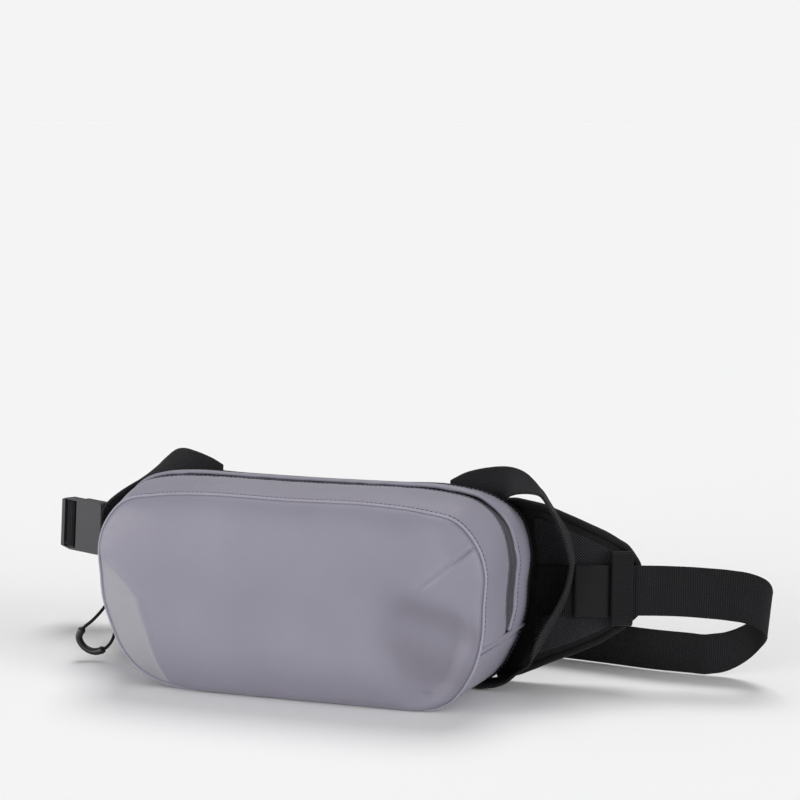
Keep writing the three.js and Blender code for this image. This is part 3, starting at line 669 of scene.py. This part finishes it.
def make_grip():
    """A slightly waisted tube with a bead near each end."""
    line = cord_point(np.linspace(*GRIP_SHARE, GRIP_ROWS))
    place = np.linspace(0, 1, GRIP_ROWS)
    swell = GRIP_RADIUS * (1 + 0.06 * np.cos(2 * np.pi * place))
    for end in (0, 1):
        swell *= 1 - 0.42 * bell(place - end, 0.018)
        swell += 0.28 * bell(place - abs(end - 0.07), 0.014)
    sides = np.tile([0.0, 1.0, 0.0], (GRIP_ROWS, 1))
    grip = sweep_piece("pull_grip_visual", line, sides, circle_profile(1.0, GRIP_SIDES) * MM)
    rings = points_of(grip).reshape(GRIP_ROWS, GRIP_SIDES, 3)
    set_points(grip, line[:, None] + (rings - line[:, None]) * swell[:, None, None])
    return keep(grip, RUBBER, "zip_pull", "grip", "pull_grip")


def make_pull():
    """The stiff cord loop and the moulded grip over its far bend."""
    line = cord_point(np.linspace(0, 1, 64))
    cord = make_cord(line)
    grip = make_grip()


make_camera()
make_pull()


# ---------- stitches ----------
STITCH_PITCH = 3.4
STITCH_LENGTH = 2.4
STITCH_RADIUS = 0.34
STITCH_SIDES = 6
# One stitch: places along its length, and shares of its radius there.
STITCH_SHAPE = [(-0.5, 0.15), (-0.36, 0.9), (0.0, 1.0), (0.36, 0.9), (0.5, 0.15)]


def stitch_mesh(name, lines):
    """Short threads laid end to end along each line of points."""
    length, radius = STITCH_LENGTH * MM, STITCH_RADIUS * MM
    turns = np.linspace(0, 2 * np.pi, STITCH_SIDES, endpoint=False)
    rings = len(STITCH_SHAPE)
    points, faces = [], []
    for line in lines:
        far = running(line)
        count = max(1, int(far[-1] / (STITCH_PITCH * MM)))
        for k in range(count):
            at = [(k + 0.5) * far[-1] / count + d * length for d in (-0.5, 0.5)]
            a, b = (np.array([np.interp(s, far, line[:, c]) for c in range(3)]) for s in at)
            axis = (b - a) / max(np.linalg.norm(b - a), 1e-9)
            side = np.cross(axis, [0.3, 0.2, 0.93])
            side /= np.linalg.norm(side)
            over = np.cross(axis, side)
            start = len(points)
            for place, share in STITCH_SHAPE:
                middle = (a + b) / 2 + axis * place * length
                for turn in turns:
                    spoke = side * math.cos(turn) + over * math.sin(turn)
                    points.append(middle + spoke * share * radius)
            faces += grid_faces(rings, STITCH_SIDES, False, True, start)
            last = start + (rings - 1) * STITCH_SIDES
            faces.append(list(range(start, start + STITCH_SIDES)))
            faces.append(list(reversed(range(last, last + STITCH_SIDES))))
    return turn_out(mesh_piece(name, points, faces))


def ripple(points, size, wave_length, seed):
    """Smooth noise at points in metres, about -size to size."""
    offset = Vector((seed * 7.3, seed * 3.1, seed * 1.7))
    flat = points.reshape(-1, 3)
    values = [noise.noise(Vector(p) / (wave_length * MM) + offset) for p in flat]
    return np.array(values).reshape(points.shape[:-1]) * size


# ---------- bag body ----------
CLOTH = 1.6           # thickness of the gusset's cloth and foam
EDGE_ROLL = 0.7       # how far a strip's edges turn down


def rolled_strip(name, steps, y_from, y_to, puff, seed, lift=0.0, columns=26):
    """A stretch of gusset between two depths (each a number or an array over steps), with rolled edges.
    puff is how far it swells, and lift how far the first edge stands up along the top of the bag."""
    steps = np.asarray(steps, float)
    y_from = np.broadcast_to(np.asarray(y_from, float), steps.shape)
    y_to = np.broadcast_to(np.asarray(y_to, float), steps.shape)
    share = (1 - np.cos(np.linspace(0, np.pi, columns))) / 2
    y = y_from[:, None] + (y_to - y_from)[:, None] * share[None, :]
    step = np.repeat(steps[:, None], columns, 1)
    base = shell(step, y)
    bow = np.sin(np.pi * share)[None, :]
    pucker = ripple(base * [1.0, 2.5, 1.0], 0.45, 9, seed) * (1 - bow * 0.75)
    slow = ripple(base, 0.9, 55, seed + 5) * bow
    edges = (bell(share, 1 / 30) + bell(1 - share, 1 / 30))[None, :]
    out = puff * bow**0.7 + pucker + slow - EDGE_ROLL * edges
    on_top = smoothstep(13 - np.abs(steps), 0, 6)
    out = out + lift * on_top[:, None] * (np.cos(np.pi * np.clip(share * 1.4, 0, 1)) / 2 + 0.5)[None, :]
    face = shell(step, y, out)
    back = shell(step, y, out - CLOTH)
    return slab_piece(name, face, back)


SLIT_HALF = 3.2
GAPE = 4.4


def gap_half(steps):
    """Half of the zip's visible width: a slit along the top that gapes round the ends."""
    turn = np.abs(steps)
    return SLIT_HALF + GAPE * (smoothstep(turn, 8.0, 14.5) - smoothstep(turn, 17.3, 19.5))


TOP_STEPS = np.linspace(-END_FOOT, END_FOOT, 260)
LOW_STEPS = np.linspace(END_FOOT + 0.1, RING_STEPS - END_FOOT - 0.1, 200)
GAP_HALF = gap_half(TOP_STEPS)


def make_bands():
    front_edge, back_edge = FRONT_Y + 0.3, BACK_Y - 0.3
    front = rolled_strip("bag_front_band", TOP_STEPS, front_edge, ZIP_Y - GAP_HALF, 1.1, 3)
    keep(front, COATED, "bag", "coated_fabric", "front_zip_band")
    rear = rolled_strip("bag_rear_band", TOP_STEPS, ZIP_Y + GAP_HALF, back_edge, 1.1, 4, lift=2.2)
    keep(rear, COATED, "bag", "coated_fabric", "rear_zip_band")
    low = rolled_strip("bag_lower_gusset", LOW_STEPS, front_edge, back_edge, 0.5, 6, columns=40)
    keep(low, COATED, "bag", "coated_fabric", "lower_gusset")


TAPE_INNER = 0.35     # from the zip's middle to each tape's edge
TAPE_UNDER = 3.0      # how far each tape runs in under its band


def make_zip():
    share = np.linspace(0, 1, 9)[None, :]
    step = np.repeat(TOP_STEPS[:, None], share.size, 1)
    lip = 0.35 * bell(share, 0.14)
    reach = TAPE_INNER + (GAP_HALF[:, None] + TAPE_UNDER - TAPE_INNER) * share
    for side, sign in (("front", -1), ("rear", 1)):
        y = ZIP_Y + sign * reach
        face = shell(step, y, -1.5 + lip)
        back = shell(step, y, -2.3)
        tape = slab_piece(f"zip_tape_{side}_visual", face, back)
        keep(tape, ZIP_TAPE, "bag", "zip_tape", f"zip_tape_{side}")


def ring_line(y, out, count=360, last=RING_STEPS):
    """A line round the outline at depth y, from the top centre to step last."""
    return shell(np.linspace(0.0, last, count), float(y), out)


WELT_POINTS = 480


def make_welts():
    """Piped seams: round the front panel, round the back panel and across both ends."""
    rings = (
        # The front welt is in the lighter cloth: a painted highlight along the seam.
        ("front_welt", FRONT_Y + 0.2, 0.4, 1.2, COATED_HIGHLIGHT_COPY),
        ("back_welt", BACK_Y + 0.2, 0.1, 1.5, BORDER),
    )
    for name, y, out, radius, material in rings:
        line = ring_line(y, out, WELT_POINTS, RING_STEPS * (1 - 1 / WELT_POINTS))
        line[:, 2] = np.maximum(line[:, 2], radius * MM)
        sides = np.tile([0.0, 1.0, 0.0], (len(line), 1))
        welt = sweep_piece(name, line, sides, circle_profile(radius * MM), closed=True)
        keep(welt, material, "bag", "coated_fabric")
    for side, sign in (("right", 1), ("left", -1)):
        ys = np.linspace(FRONT_Y, BACK_Y, 60)
        line = shell(np.full(60, sign * (END_FOOT + 0.05)), ys, 0.7 + 0.25 * np.sin(ys * 0.21))
        sides = np.tile([0.0, 0.0, 1.0], (60, 1))
        profile = circle_profile(1.0 * MM, 12) * [1.5, 1.15]
        tape = sweep_piece(f"{side}_end_welt", line, sides, profile)
        keep(tape, COATED, "bag", "coated_fabric", f"{side}_end_seam_tape")


def make_stitches():
    """Rows of stitches beside the seams, beside the zip and down both ends."""
    lines = [ring_line(FRONT_Y + 3.0, 0.75), ring_line(BACK_Y - 3.0, 0.9)]
    lines.append(shell(TOP_STEPS, ZIP_Y - GAP_HALF - 2.6, 0.75))
    lines.append(shell(TOP_STEPS, ZIP_Y + GAP_HALF + 2.6, 0.8))
    for sign in (1, -1):
        ys = np.linspace(FRONT_Y + 3, BACK_Y - 4, 30)
        lines.append(shell(np.full(30, sign * (END_FOOT + 0.55)), ys, 0.6))
    for line in lines:
        line[:, 2] = np.maximum(line[:, 2], 0.5 * MM)
    keep(stitch_mesh("bag_stitches", lines), THREAD, "bag", "coated_fabric")


# The front panel's relief: places are (x, z), sizes in millimetres.
DART = ((143.0, 126.0), (106.0, 93.0))
LOW_FOLD = ((104, 14), (124, 12))
HOLLOW = 9.0
SOFT_DENTS = [     # middle, reach and depth
    ((40, 30), (85, 20), -3.0), ((-70, 118), (34, 22), 1.2), ((10, 96), (60, 26), -0.8),
    ((124, 112), (12, 22), -1.2),
]


def from_line(x, z, a, b):
    """Distance to the segment a-b and the share along it."""
    ax, az = a
    dx, dz = b[0] - ax, b[1] - az
    share = np.clip(((x - ax) * dx + (z - az) * dz) / (dx * dx + dz * dz), 0, 1)
    away = np.hypot(x - ax - share * dx, z - az - share * dz)
    return away, share


def dent(x, z, middle, reach, depth):
    return -depth * bell(x - middle[0], reach[0]) * bell(z - middle[1], reach[1])


def dome(inward):
    """Height of the front panel over its rim, for a share of the way in to the middle."""
    return BELLY * np.sqrt(np.clip(1 - (1 - inward) ** 2.6, 0, 1))


def pressed_flat(x, z, inward):
    """The dome with its lower left pressed into a nearly flat facet, which ends in a soft crease."""
    crease = facet_edge(x, z)
    facet = dome(crease) * inward / crease
    ridge = 1.1 * bell(inward - crease, 0.03) * smoothstep(crease, 0.02, 0.12)
    return np.where(inward < crease, facet, dome(inward)) + ridge


def hollow_share(x, z):
    """How far the lower right has sunk behind its soft upright edge and its soft slanting one."""
    top = 104 - 0.38 * np.maximum(x - 90, 0) + 1.5 * np.sin(x / 9)
    down = smoothstep(top - z, 0, 38)
    across = smoothstep(x, 70 + 4 * np.sin(z / 13) + 0.12 * (60 - z), 106 - 0.05 * z)
    return down * across * (1 - 0.3 * smoothstep(x, 122, 144)) * (0.4 + 0.6 * smoothstep(z, 4, 26))


def facet_edge(x, z):
    """Share of the way in where the facet of the lower left ends; almost nothing elsewhere."""
    edge = np.interp(z, [0, 20, 70, 80, 90, 102], [0.21, 0.245, 0.235, 0.18, 0.10, 0.0])
    return np.maximum(edge * smoothstep(-x, 80, 106), 1e-3)


def panel_tone(x, z, inward):
    """Painted shade along the seam and in the hollow, in two soft patches, and a silvery painted highlight
    on the facet.
    """
    edge = facet_edge(x, z)
    painted_highlight = smoothstep(edge - inward, -0.015, 0.04) * smoothstep(edge, 0.04, 0.14)
    patches = 0.56 + 0.16 * np.cos((z - 84 + 0.35 * (x - 90)) * 2 * np.pi / 42)
    painted_shade = smoothstep(hollow_share(x, z), 0.0, 0.62) * patches * smoothstep(z, 2, 26)
    # The bell at inward 0 is a thin painted shadow along the seam.
    return np.clip(painted_highlight - painted_shade - bell(inward, 0.008), -1, 1)


def panel_relief(x, z, inward):
    """Height added to the dome, along -Y."""
    relief = -HOLLOW * hollow_share(x, z)
    for middle, reach, depth in SOFT_DENTS:
        relief += dent(x, z, middle, reach, depth)
    fold, _ = from_line(x, z, *LOW_FOLD)
    relief += -1.1 * bell(fold, 1.8)
    relief = relief * smoothstep(inward, 0.0, 0.12)
    away, share = from_line(x, z, *DART)
    fade = 1 - 0.75 * share
    relief += fade * (0.8 * bell(away - 3.2, 2.4) - 1.6 * bell(away, 1.0))
    return relief * smoothstep(inward, 0.0, 0.02)


def panel_point(angle_step, inward):
    """Rim point drawn in towards the middle, and its height."""
    rim = shell(angle_step, np.full_like(angle_step, FRONT_Y)) / MM
    x = rim[..., 0] + (PANEL_MIDDLE[0] - rim[..., 0]) * inward
    z = rim[..., 2] + (PANEL_MIDDLE[1] - rim[..., 2]) * inward
    rise = pressed_flat(x, z, inward) + panel_relief(x, z, inward)
    return x, z, rise


def make_front_panel():
    inward = np.sin(np.linspace(0, np.pi / 2, 90)) ** 1.25
    step = np.linspace(0, RING_STEPS, 420, endpoint=False)
    grid_step, grid_in = np.meshgrid(step, inward, indexing="ij")
    x, z, rise = panel_point(grid_step, grid_in)
    flat = np.stack([x, np.zeros_like(x), z], -1) * MM
    rim_fade = smoothstep(grid_in, 0.0, 0.05)
    pucker = ripple(flat, 0.55, 13, 2) * bell(grid_in, 0.16) * rim_fade
    rise = rise + pucker + ripple(flat, 1.5, 62, 8) * smoothstep(grid_in, 0.05, 0.4)
    panel = disc_piece("bag_front_panel", np.stack([x, FRONT_Y - rise, z], -1) * MM)
    # The tone attribute carries painted shade and a painted highlight into the cloth's colour.
    tone = panel_tone(x, z, grid_in)
    layer = panel.data.attributes.new("tone", "FLOAT", "POINT")
    layer.data.foreach_set("value", np.append(tone[:, :-1].ravel(), tone[:, -1].mean()))
    fine_near_dart(panel)
    thicken(panel, 1.4, -1)
    keep(panel, COATED, "bag", "coated_fabric", "front_panel")


def thicken(panel, thickness, outward):
    """Turns a panel's faces outward, -1 or 1 along Y, and gives it thickness behind them."""
    if panel.data.polygons[0].normal.y * outward < 0:
        panel.data.flip_normals()
    made = panel.modifiers.new("thickness", "SOLIDIFY")
    made.thickness = thickness * MM


def fine_near_dart(obj):
    """Splits the faces beside the dart twice."""
    bm = bmesh.new()
    bm.from_mesh(obj.data)
    for reach in (7.0, 4.0):
        edges = [e for e in bm.edges if min(dart_away(v) for v in e.verts) < reach]
        bmesh.ops.subdivide_edges(bm, edges=edges, cuts=1, use_grid_fill=True, smooth=0)
    bm.to_mesh(obj.data)
    bm.free()
    shade_smooth(obj.data)


def dart_away(vert):
    away, _ = from_line(vert.co.x / MM, vert.co.z / MM, *DART)
    return float(away)


make_bands()
make_zip()
make_welts()
make_stitches()
make_front_panel()


# ---------- webbing ----------
WEBBING = (38, 1.7)     # width and thickness
# The belt's CAD nodes in order, each with a point near the end where it starts.
BELT_RUNS = {
    "belt_front_run": (206, 61.5, 71.5), "belt_right_turn": (296.6, 83, 70),
    "belt_back_run": (279.4, 101.9, 18.6), "belt_left_run": (-90.6, 126, 22),
    "belt_wrap": (-201.3, 125, 58), "belt_tail": (-230, 125, 81),
}


def make_belt():
    """One length of belt: through the keeper, round the turn, back behind the bag and on to the buckle."""
    run = joined_stations(*(stations_of(node, start) for node, start in BELT_RUNS.items()))
    belt = ribbon("belt", run, *WEBBING)
    belt.data.materials.append(BELT_WEAVE)
    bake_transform(belt)
    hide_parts(*BELT_RUNS)


make_belt()


STRAP_TURN_HIGH, STRAP_TURN_LOW = 0.15, 0.35


def turned(run):
    """Turns a strap's free stretch over the wing a little to the front, most at its lower end."""
    middles, sides = run
    z = middles[:, 2] / MM
    turn = STRAP_TURN_HIGH + (STRAP_TURN_LOW - STRAP_TURN_HIGH) * smoothstep(100 - z, 0, 60)
    share = smoothstep(134 - z, 0, 22) * smoothstep(z, 12, 40) * turn
    heading = np.gradient(middles, axis=0)
    heading /= np.linalg.norm(heading, axis=1)[:, None]
    return middles, sides + np.cross(heading, sides) * share[:, None]


UPPER_STRAP_START = {"right": (98, 44.4, 139), "left": (-83, 44.4, 141)}
WING_WEB_START = {"right": (163, 48, 72), "left": (-151.5, 49.5, 72)}


def make_straps():
    for side in ("right", "left"):
        upper = stations_of(f"{side}_upper_strap", UPPER_STRAP_START[side])
        lower = stations_of(f"{side}_lower_strap", upper[0][-1] / MM)
        run = joined_stations(upper, lower)
        if side == "right":
            run = turned(run)
        strap = ribbon(f"{side}_stabiliser_strap", run, 25, 1.9, 1.5)
        keep(strap, STRAP_WEAVE, "bag", "webbing", f"{side}_upper_strap", f"{side}_lower_strap")
        web = ribbon(f"{side}_wing_web", stations_of(f"{side}_wing_webbing", WING_WEB_START[side]), *WEBBING)
        keep(web, RIB_WEAVE, "bag", "webbing", f"{side}_wing_webbing")


def make_sewn_pieces():
    """The label, the keeper's loop and the folded end of the belt."""
    label = ribbon("label_patch_visual", stations_of("label_patch", (190, 53, 72)), 40, 1.0)
    keep(label, LABEL, "bag", "binding", "label_patch")
    keeper = ribbon("keeper_loop", stations_of("right_keeper", (225, 65, 98)), 16, 1.6, 1.2)
    keep(keeper, RIB_WEAVE, "bag", "webbing", "right_keeper")
    hem = ribbon("tail_fold", stations_of("tail_hem", (-214, 122, 81)), 38, 1.2)
    keep(hem, BELT_WEAVE, "buckle_slide", "webbing", "tail_hem")


make_straps()
make_sewn_pieces()


# ---------- padded pieces ----------
def puffed(name, node, cap, shrink, voxel):
    """A padded copy of a CAD pad, blown up gently as cloth, no further than cap from where it was."""
    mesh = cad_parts[node].data.copy()
    obj = linked(name, mesh)
    bm = bmesh.new()
    bm.from_mesh(mesh)
    bmesh.ops.remove_doubles(bm, verts=bm.verts, dist=0.02 * MM)
    bm.to_mesh(mesh)
    bm.free()
    remesh = obj.modifiers.new("remesh", "REMESH")
    remesh.mode = "VOXEL"
    remesh.voxel_size = voxel * MM
    apply_modifiers(obj)
    start = points_of(obj)
    set_points(obj, start - normals_of(obj) * shrink * MM)
    simulate(obj)
    moved = points_of(obj) - start
    far = np.maximum(np.linalg.norm(moved, axis=1), 1e-9)
    moved *= np.minimum(1, cap * MM / far)[:, None]
    set_points(obj, start + moved)
    relax = obj.modifiers.new("relax", "SMOOTH")
    relax.factor = 0.5
    relax.iterations = 4
    finer = obj.modifiers.new("finer", "SUBSURF")
    finer.levels = finer.render_levels = 2
    apply_modifiers(obj)
    shade_smooth(obj.data)
    return obj


def apply_modifiers(obj):
    graph = bpy.context.evaluated_depsgraph_get()
    made = bpy.data.meshes.new_from_object(obj.evaluated_get(graph))
    obj.modifiers.clear()
    obj.data = made


CLOTH_FRAMES = 20


def simulate(obj):
    scene = bpy.context.scene
    cloth = obj.modifiers.new("cloth", "CLOTH")
    settings = cloth.settings
    settings.use_pressure = True
    settings.uniform_pressure_force = 4.0
    settings.effector_weights.gravity = 0.0
    settings.quality = 4
    cloth.point_cache.frame_start = 1
    cloth.point_cache.frame_end = CLOTH_FRAMES
    for step in range(1, CLOTH_FRAMES + 1):
        scene.frame_set(step)
    apply_modifiers(obj)
    scene.frame_set(1)


LEVEL_CHANNELS = (47, 76, 105)
UPRIGHT_CHANNELS = (-62, 62)
CHANNEL_DEPTH = 2.2


def sewn_channels(pad):
    """Presses the sewn channels into the pad's rear face."""
    points, normals = points_of(pad), normals_of(pad)
    x, z = points[:, 0] / MM, points[:, 2] / MM
    back = smoothstep(normals[:, 1], 0.3, 0.8)
    groove = sum(bell(z - level, 2.2) for level in LEVEL_CHANNELS)
    groove = groove + sum(bell(x - across, 2.4) for across in UPRIGHT_CHANNELS)
    depth = np.minimum(groove, 1.15) * CHANNEL_DEPTH * back
    set_points(pad, points - normals * depth[:, None] * MM)
    pad.data.update()


def make_lumbar_pad():
    pad = puffed("lumbar_cushion", "lumbar_pad", 3.0, shrink=1.5, voxel=5.0)
    sewn_channels(pad)
    keep(pad, SPACER, "bag", "pad", "lumbar_pad")


WING_SAG = 7.0         # how much lower the seam hangs beside the bag
BINDING_IN = 1.1       # how far the binding is drawn in from the wing's outline
CHEVRON_REACH = (10, 73)
SEAM_REACH = -20


def wing_sag(share):
    return WING_SAG * smoothstep(wing_share(30) - share, 0, wing_share(22))


def wing_grid(shares, margin, rows, columns):
    """Shares, heights and a crown over a wing's outline, drawn in by margin above and below."""
    share = np.repeat(np.linspace(*shares, rows)[:, None], columns, 1)
    top, bottom = wing_edge(WING_TOP, share) - margin, wing_edge(WING_BOTTOM, share) + margin
    spread = np.linspace(0, 1, columns)[None, :]
    z = bottom + (top - bottom) * spread
    crown = (1 - np.abs(2 * spread - 1) ** 6) * np.ones_like(share)
    ends = np.linspace(0, 1, rows)[:, None]
    crown = crown * (1 - np.abs(2 * ends - 1) ** 12)
    return share, z, crown


def make_chevron(side):
    """The raised mesh panel on the wing's front."""
    wing = WINGS[side]
    near, far = (wing_share(reach) for reach in CHEVRON_REACH)
    share, z, crown = wing_grid((near, far), 9, 60, 50)
    face, back = wing.point(share, z, 4.4 + 0.9 * crown), wing.point(share, z, 3.6)
    panel = slab_piece(f"{side}_wing_chevron", face, back)
    keep(panel, CHEVRON, "bag", "mesh", f"{side}_wing_mesh")


def make_wing_seam(side):
    """The thin sewn edge between the wing's padding and its binding."""
    wing = WINGS[side]
    share, z, _ = wing_grid((wing_share(SEAM_REACH), 0.985), 1.0, 60, 30)
    z = z - wing_sag(share) * smoothstep(40 - z, 0, 26)
    seam = slab_piece(f"{side}_wing_seam", wing.point(share, z, 1.2), wing.point(share, z, -1.2))
    keep(seam, BORDER, "bag", "pad")


def make_wing_binding(side):
    """The round binding: out along the top, round the tip and back along the bottom."""
    wing = WINGS[side]
    shares = np.linspace(wing_share(SEAM_REACH), 1.0, 60)
    top = wing.point(shares, wing_edge(WING_TOP, shares) - BINDING_IN, 0)
    low = wing.point(shares, wing_edge(WING_BOTTOM, shares) + BINDING_IN - wing_sag(shares), 0)
    tip = wing.point(np.full(12, 1.0), np.linspace(WING_TOP[-1][1], WING_BOTTOM[-1][1], 14)[1:-1], 0)
    line = np.vstack([top, tip, low[::-1]])
    line = catmull(line[::3], np.linspace(0, 1, 160))
    sides = np.tile([0.0, 1.0, 0.0], (len(line), 1))
    profile = circle_profile(1.0 * MM, 14) * [3.8, 3.0]
    binding = sweep_piece(f"{side}_wing_binding", line, sides, profile)
    keep(binding, BORDER, "bag", "binding")


def make_wings():
    for side in ("left", "right"):
        pad = puffed(f"{side}_wing_cushion", f"{side}_wing_pad", 1.2, shrink=0.5, voxel=3.0)
        keep(pad, BORDER, "bag", "pad", f"{side}_wing_pad")
        make_chevron(side)
        make_wing_seam(side)
        make_wing_binding(side)


def make_back_panel():
    """The back panel's spacer cloth, softly filled inside its seam."""
    inward = np.linspace(0, 1, 26)
    around = np.linspace(0, RING_STEPS, 180, endpoint=False)
    step, spread = np.meshgrid(around, inward, indexing="ij")
    rim = shell(step, BACK_Y, -1.6) / MM
    x = rim[..., 0] * (1 - spread)
    z = rim[..., 2] + (PANEL_MIDDLE[1] - rim[..., 2]) * spread
    rise = 0.6 + 2.3 * smoothstep(spread, 0.0, 0.12)
    panel = disc_piece("bag_back_panel", np.stack([x, BACK_Y + rise, z], -1) * MM)
    thicken(panel, 1.0, 1)
    keep(panel, SPACER, "bag", "pad", "back_panel")


make_lumbar_pad()
make_wings()
make_back_panel()


# ---------- kept CAD pieces ----------
KEPT = {
    "buckle_plate": BUCKLE, "buckle_base": BUCKLE, "plate_magnet": STEEL, "base_magnet": STEEL,
    "zip_slider": SLIDER, "slider_pin": STEEL, "pull_anchor": RUBBER,
    "zip_coil_front": COIL, "zip_coil_rear": COIL, "left_zip_stop": STEEL, "right_zip_stop": STEEL,
    "front_seam_binding": BORDER, "back_seam_binding": BORDER,
    "back_stiffener": BOARD, "base_stiffener": BOARD, "back_lining": LINING, "inner_divider": LINING,
}
ROUNDED = {"buckle_plate": 0.55, "buckle_base": 0.5, "zip_slider": 0.25, "pull_anchor": 0.3}


def finish_kept_nodes():
    for name, material in KEPT.items():
        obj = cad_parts[name]
        obj.data.materials.clear()
        obj.data.materials.append(material)
        if name not in ROUNDED:
            continue
        weld = obj.modifiers.new("weld", "WELD")
        weld.merge_threshold = 0.01 * MM
        bevel = obj.modifiers.new("bevel", "BEVEL")
        bevel.width = ROUNDED[name] * MM
        bevel.segments = 3
        bevel.limit_method = "ANGLE"
        bevel.angle_limit = math.radians(28)
        bevel.harden_normals = False


finish_kept_nodes()


# ---------- stage and light ----------
FLOOR_REACH = 30.0
FLOOR_COLOUR = (0.91, 0.91, 0.912, 1)
SURROUND_COLOUR = (0.905, 0.905, 0.908, 1)
AMBIENT = 0.33
# Each lamp's direction of travel, strength and softness in degrees.
LAMPS = {
    "key": ((0.5, 0.85, -0.16), 1.38, 30), "left": ((0.93, 0.36, -0.12), 1.65, 22),
    "right": ((-0.92, 0.3, -0.18), 2.3, 35), "top": ((0.05, -0.45, -1.0), 1.45, 30),
}


def make_stage():
    mesh = bpy.data.meshes.new("floor")
    signs = ((-1, -1), (1, -1), (1, 1), (-1, 1))
    mesh.from_pydata([(x * FLOOR_REACH, y * FLOOR_REACH, 0) for x, y in signs], [], [(0, 1, 2, 3)])
    floor = linked("floor", mesh)
    pale = bpy.data.materials.new("floor")
    pale.use_nodes = True
    sockets = pale.node_tree.nodes["Principled BSDF"].inputs
    sockets["Base Color"].default_value = FLOOR_COLOUR
    sockets["Roughness"].default_value = 1.0
    sockets["Specular IOR Level"].default_value = 0.0
    mesh.materials.append(pale)


def sun(name, direction, strength, angle):
    """Light that travels along direction; angle is its softness in degrees."""
    data = bpy.data.lights.new(name, "SUN")
    data.energy = strength
    data.angle = math.radians(angle)
    lamp = linked(name, data)
    lamp.rotation_euler = Vector(direction).to_track_quat("-Z", "Y").to_euler()


def make_light():
    """Surroundings that look pale and light the scene faintly, and four soft lamps."""
    world = bpy.data.worlds.new("studio")
    world.use_nodes = True
    nodes, links = world.node_tree.nodes, world.node_tree.links
    background = nodes["Background"]
    background.inputs[0].default_value = SURROUND_COLOUR
    path = nodes.new("ShaderNodeLightPath")
    level = nodes.new("ShaderNodeMapRange")
    level.inputs["To Min"].default_value = AMBIENT
    level.inputs["To Max"].default_value = 1.0
    links.new(path.outputs["Is Camera Ray"], level.inputs["Value"])
    links.new(level.outputs[0], background.inputs[1])
    bpy.context.scene.world = world
    for name, (direction, strength, angle) in LAMPS.items():
        sun(name, direction, strength, angle)


make_stage()
make_light()
bpy.context.scene.view_settings.view_transform = "Standard"
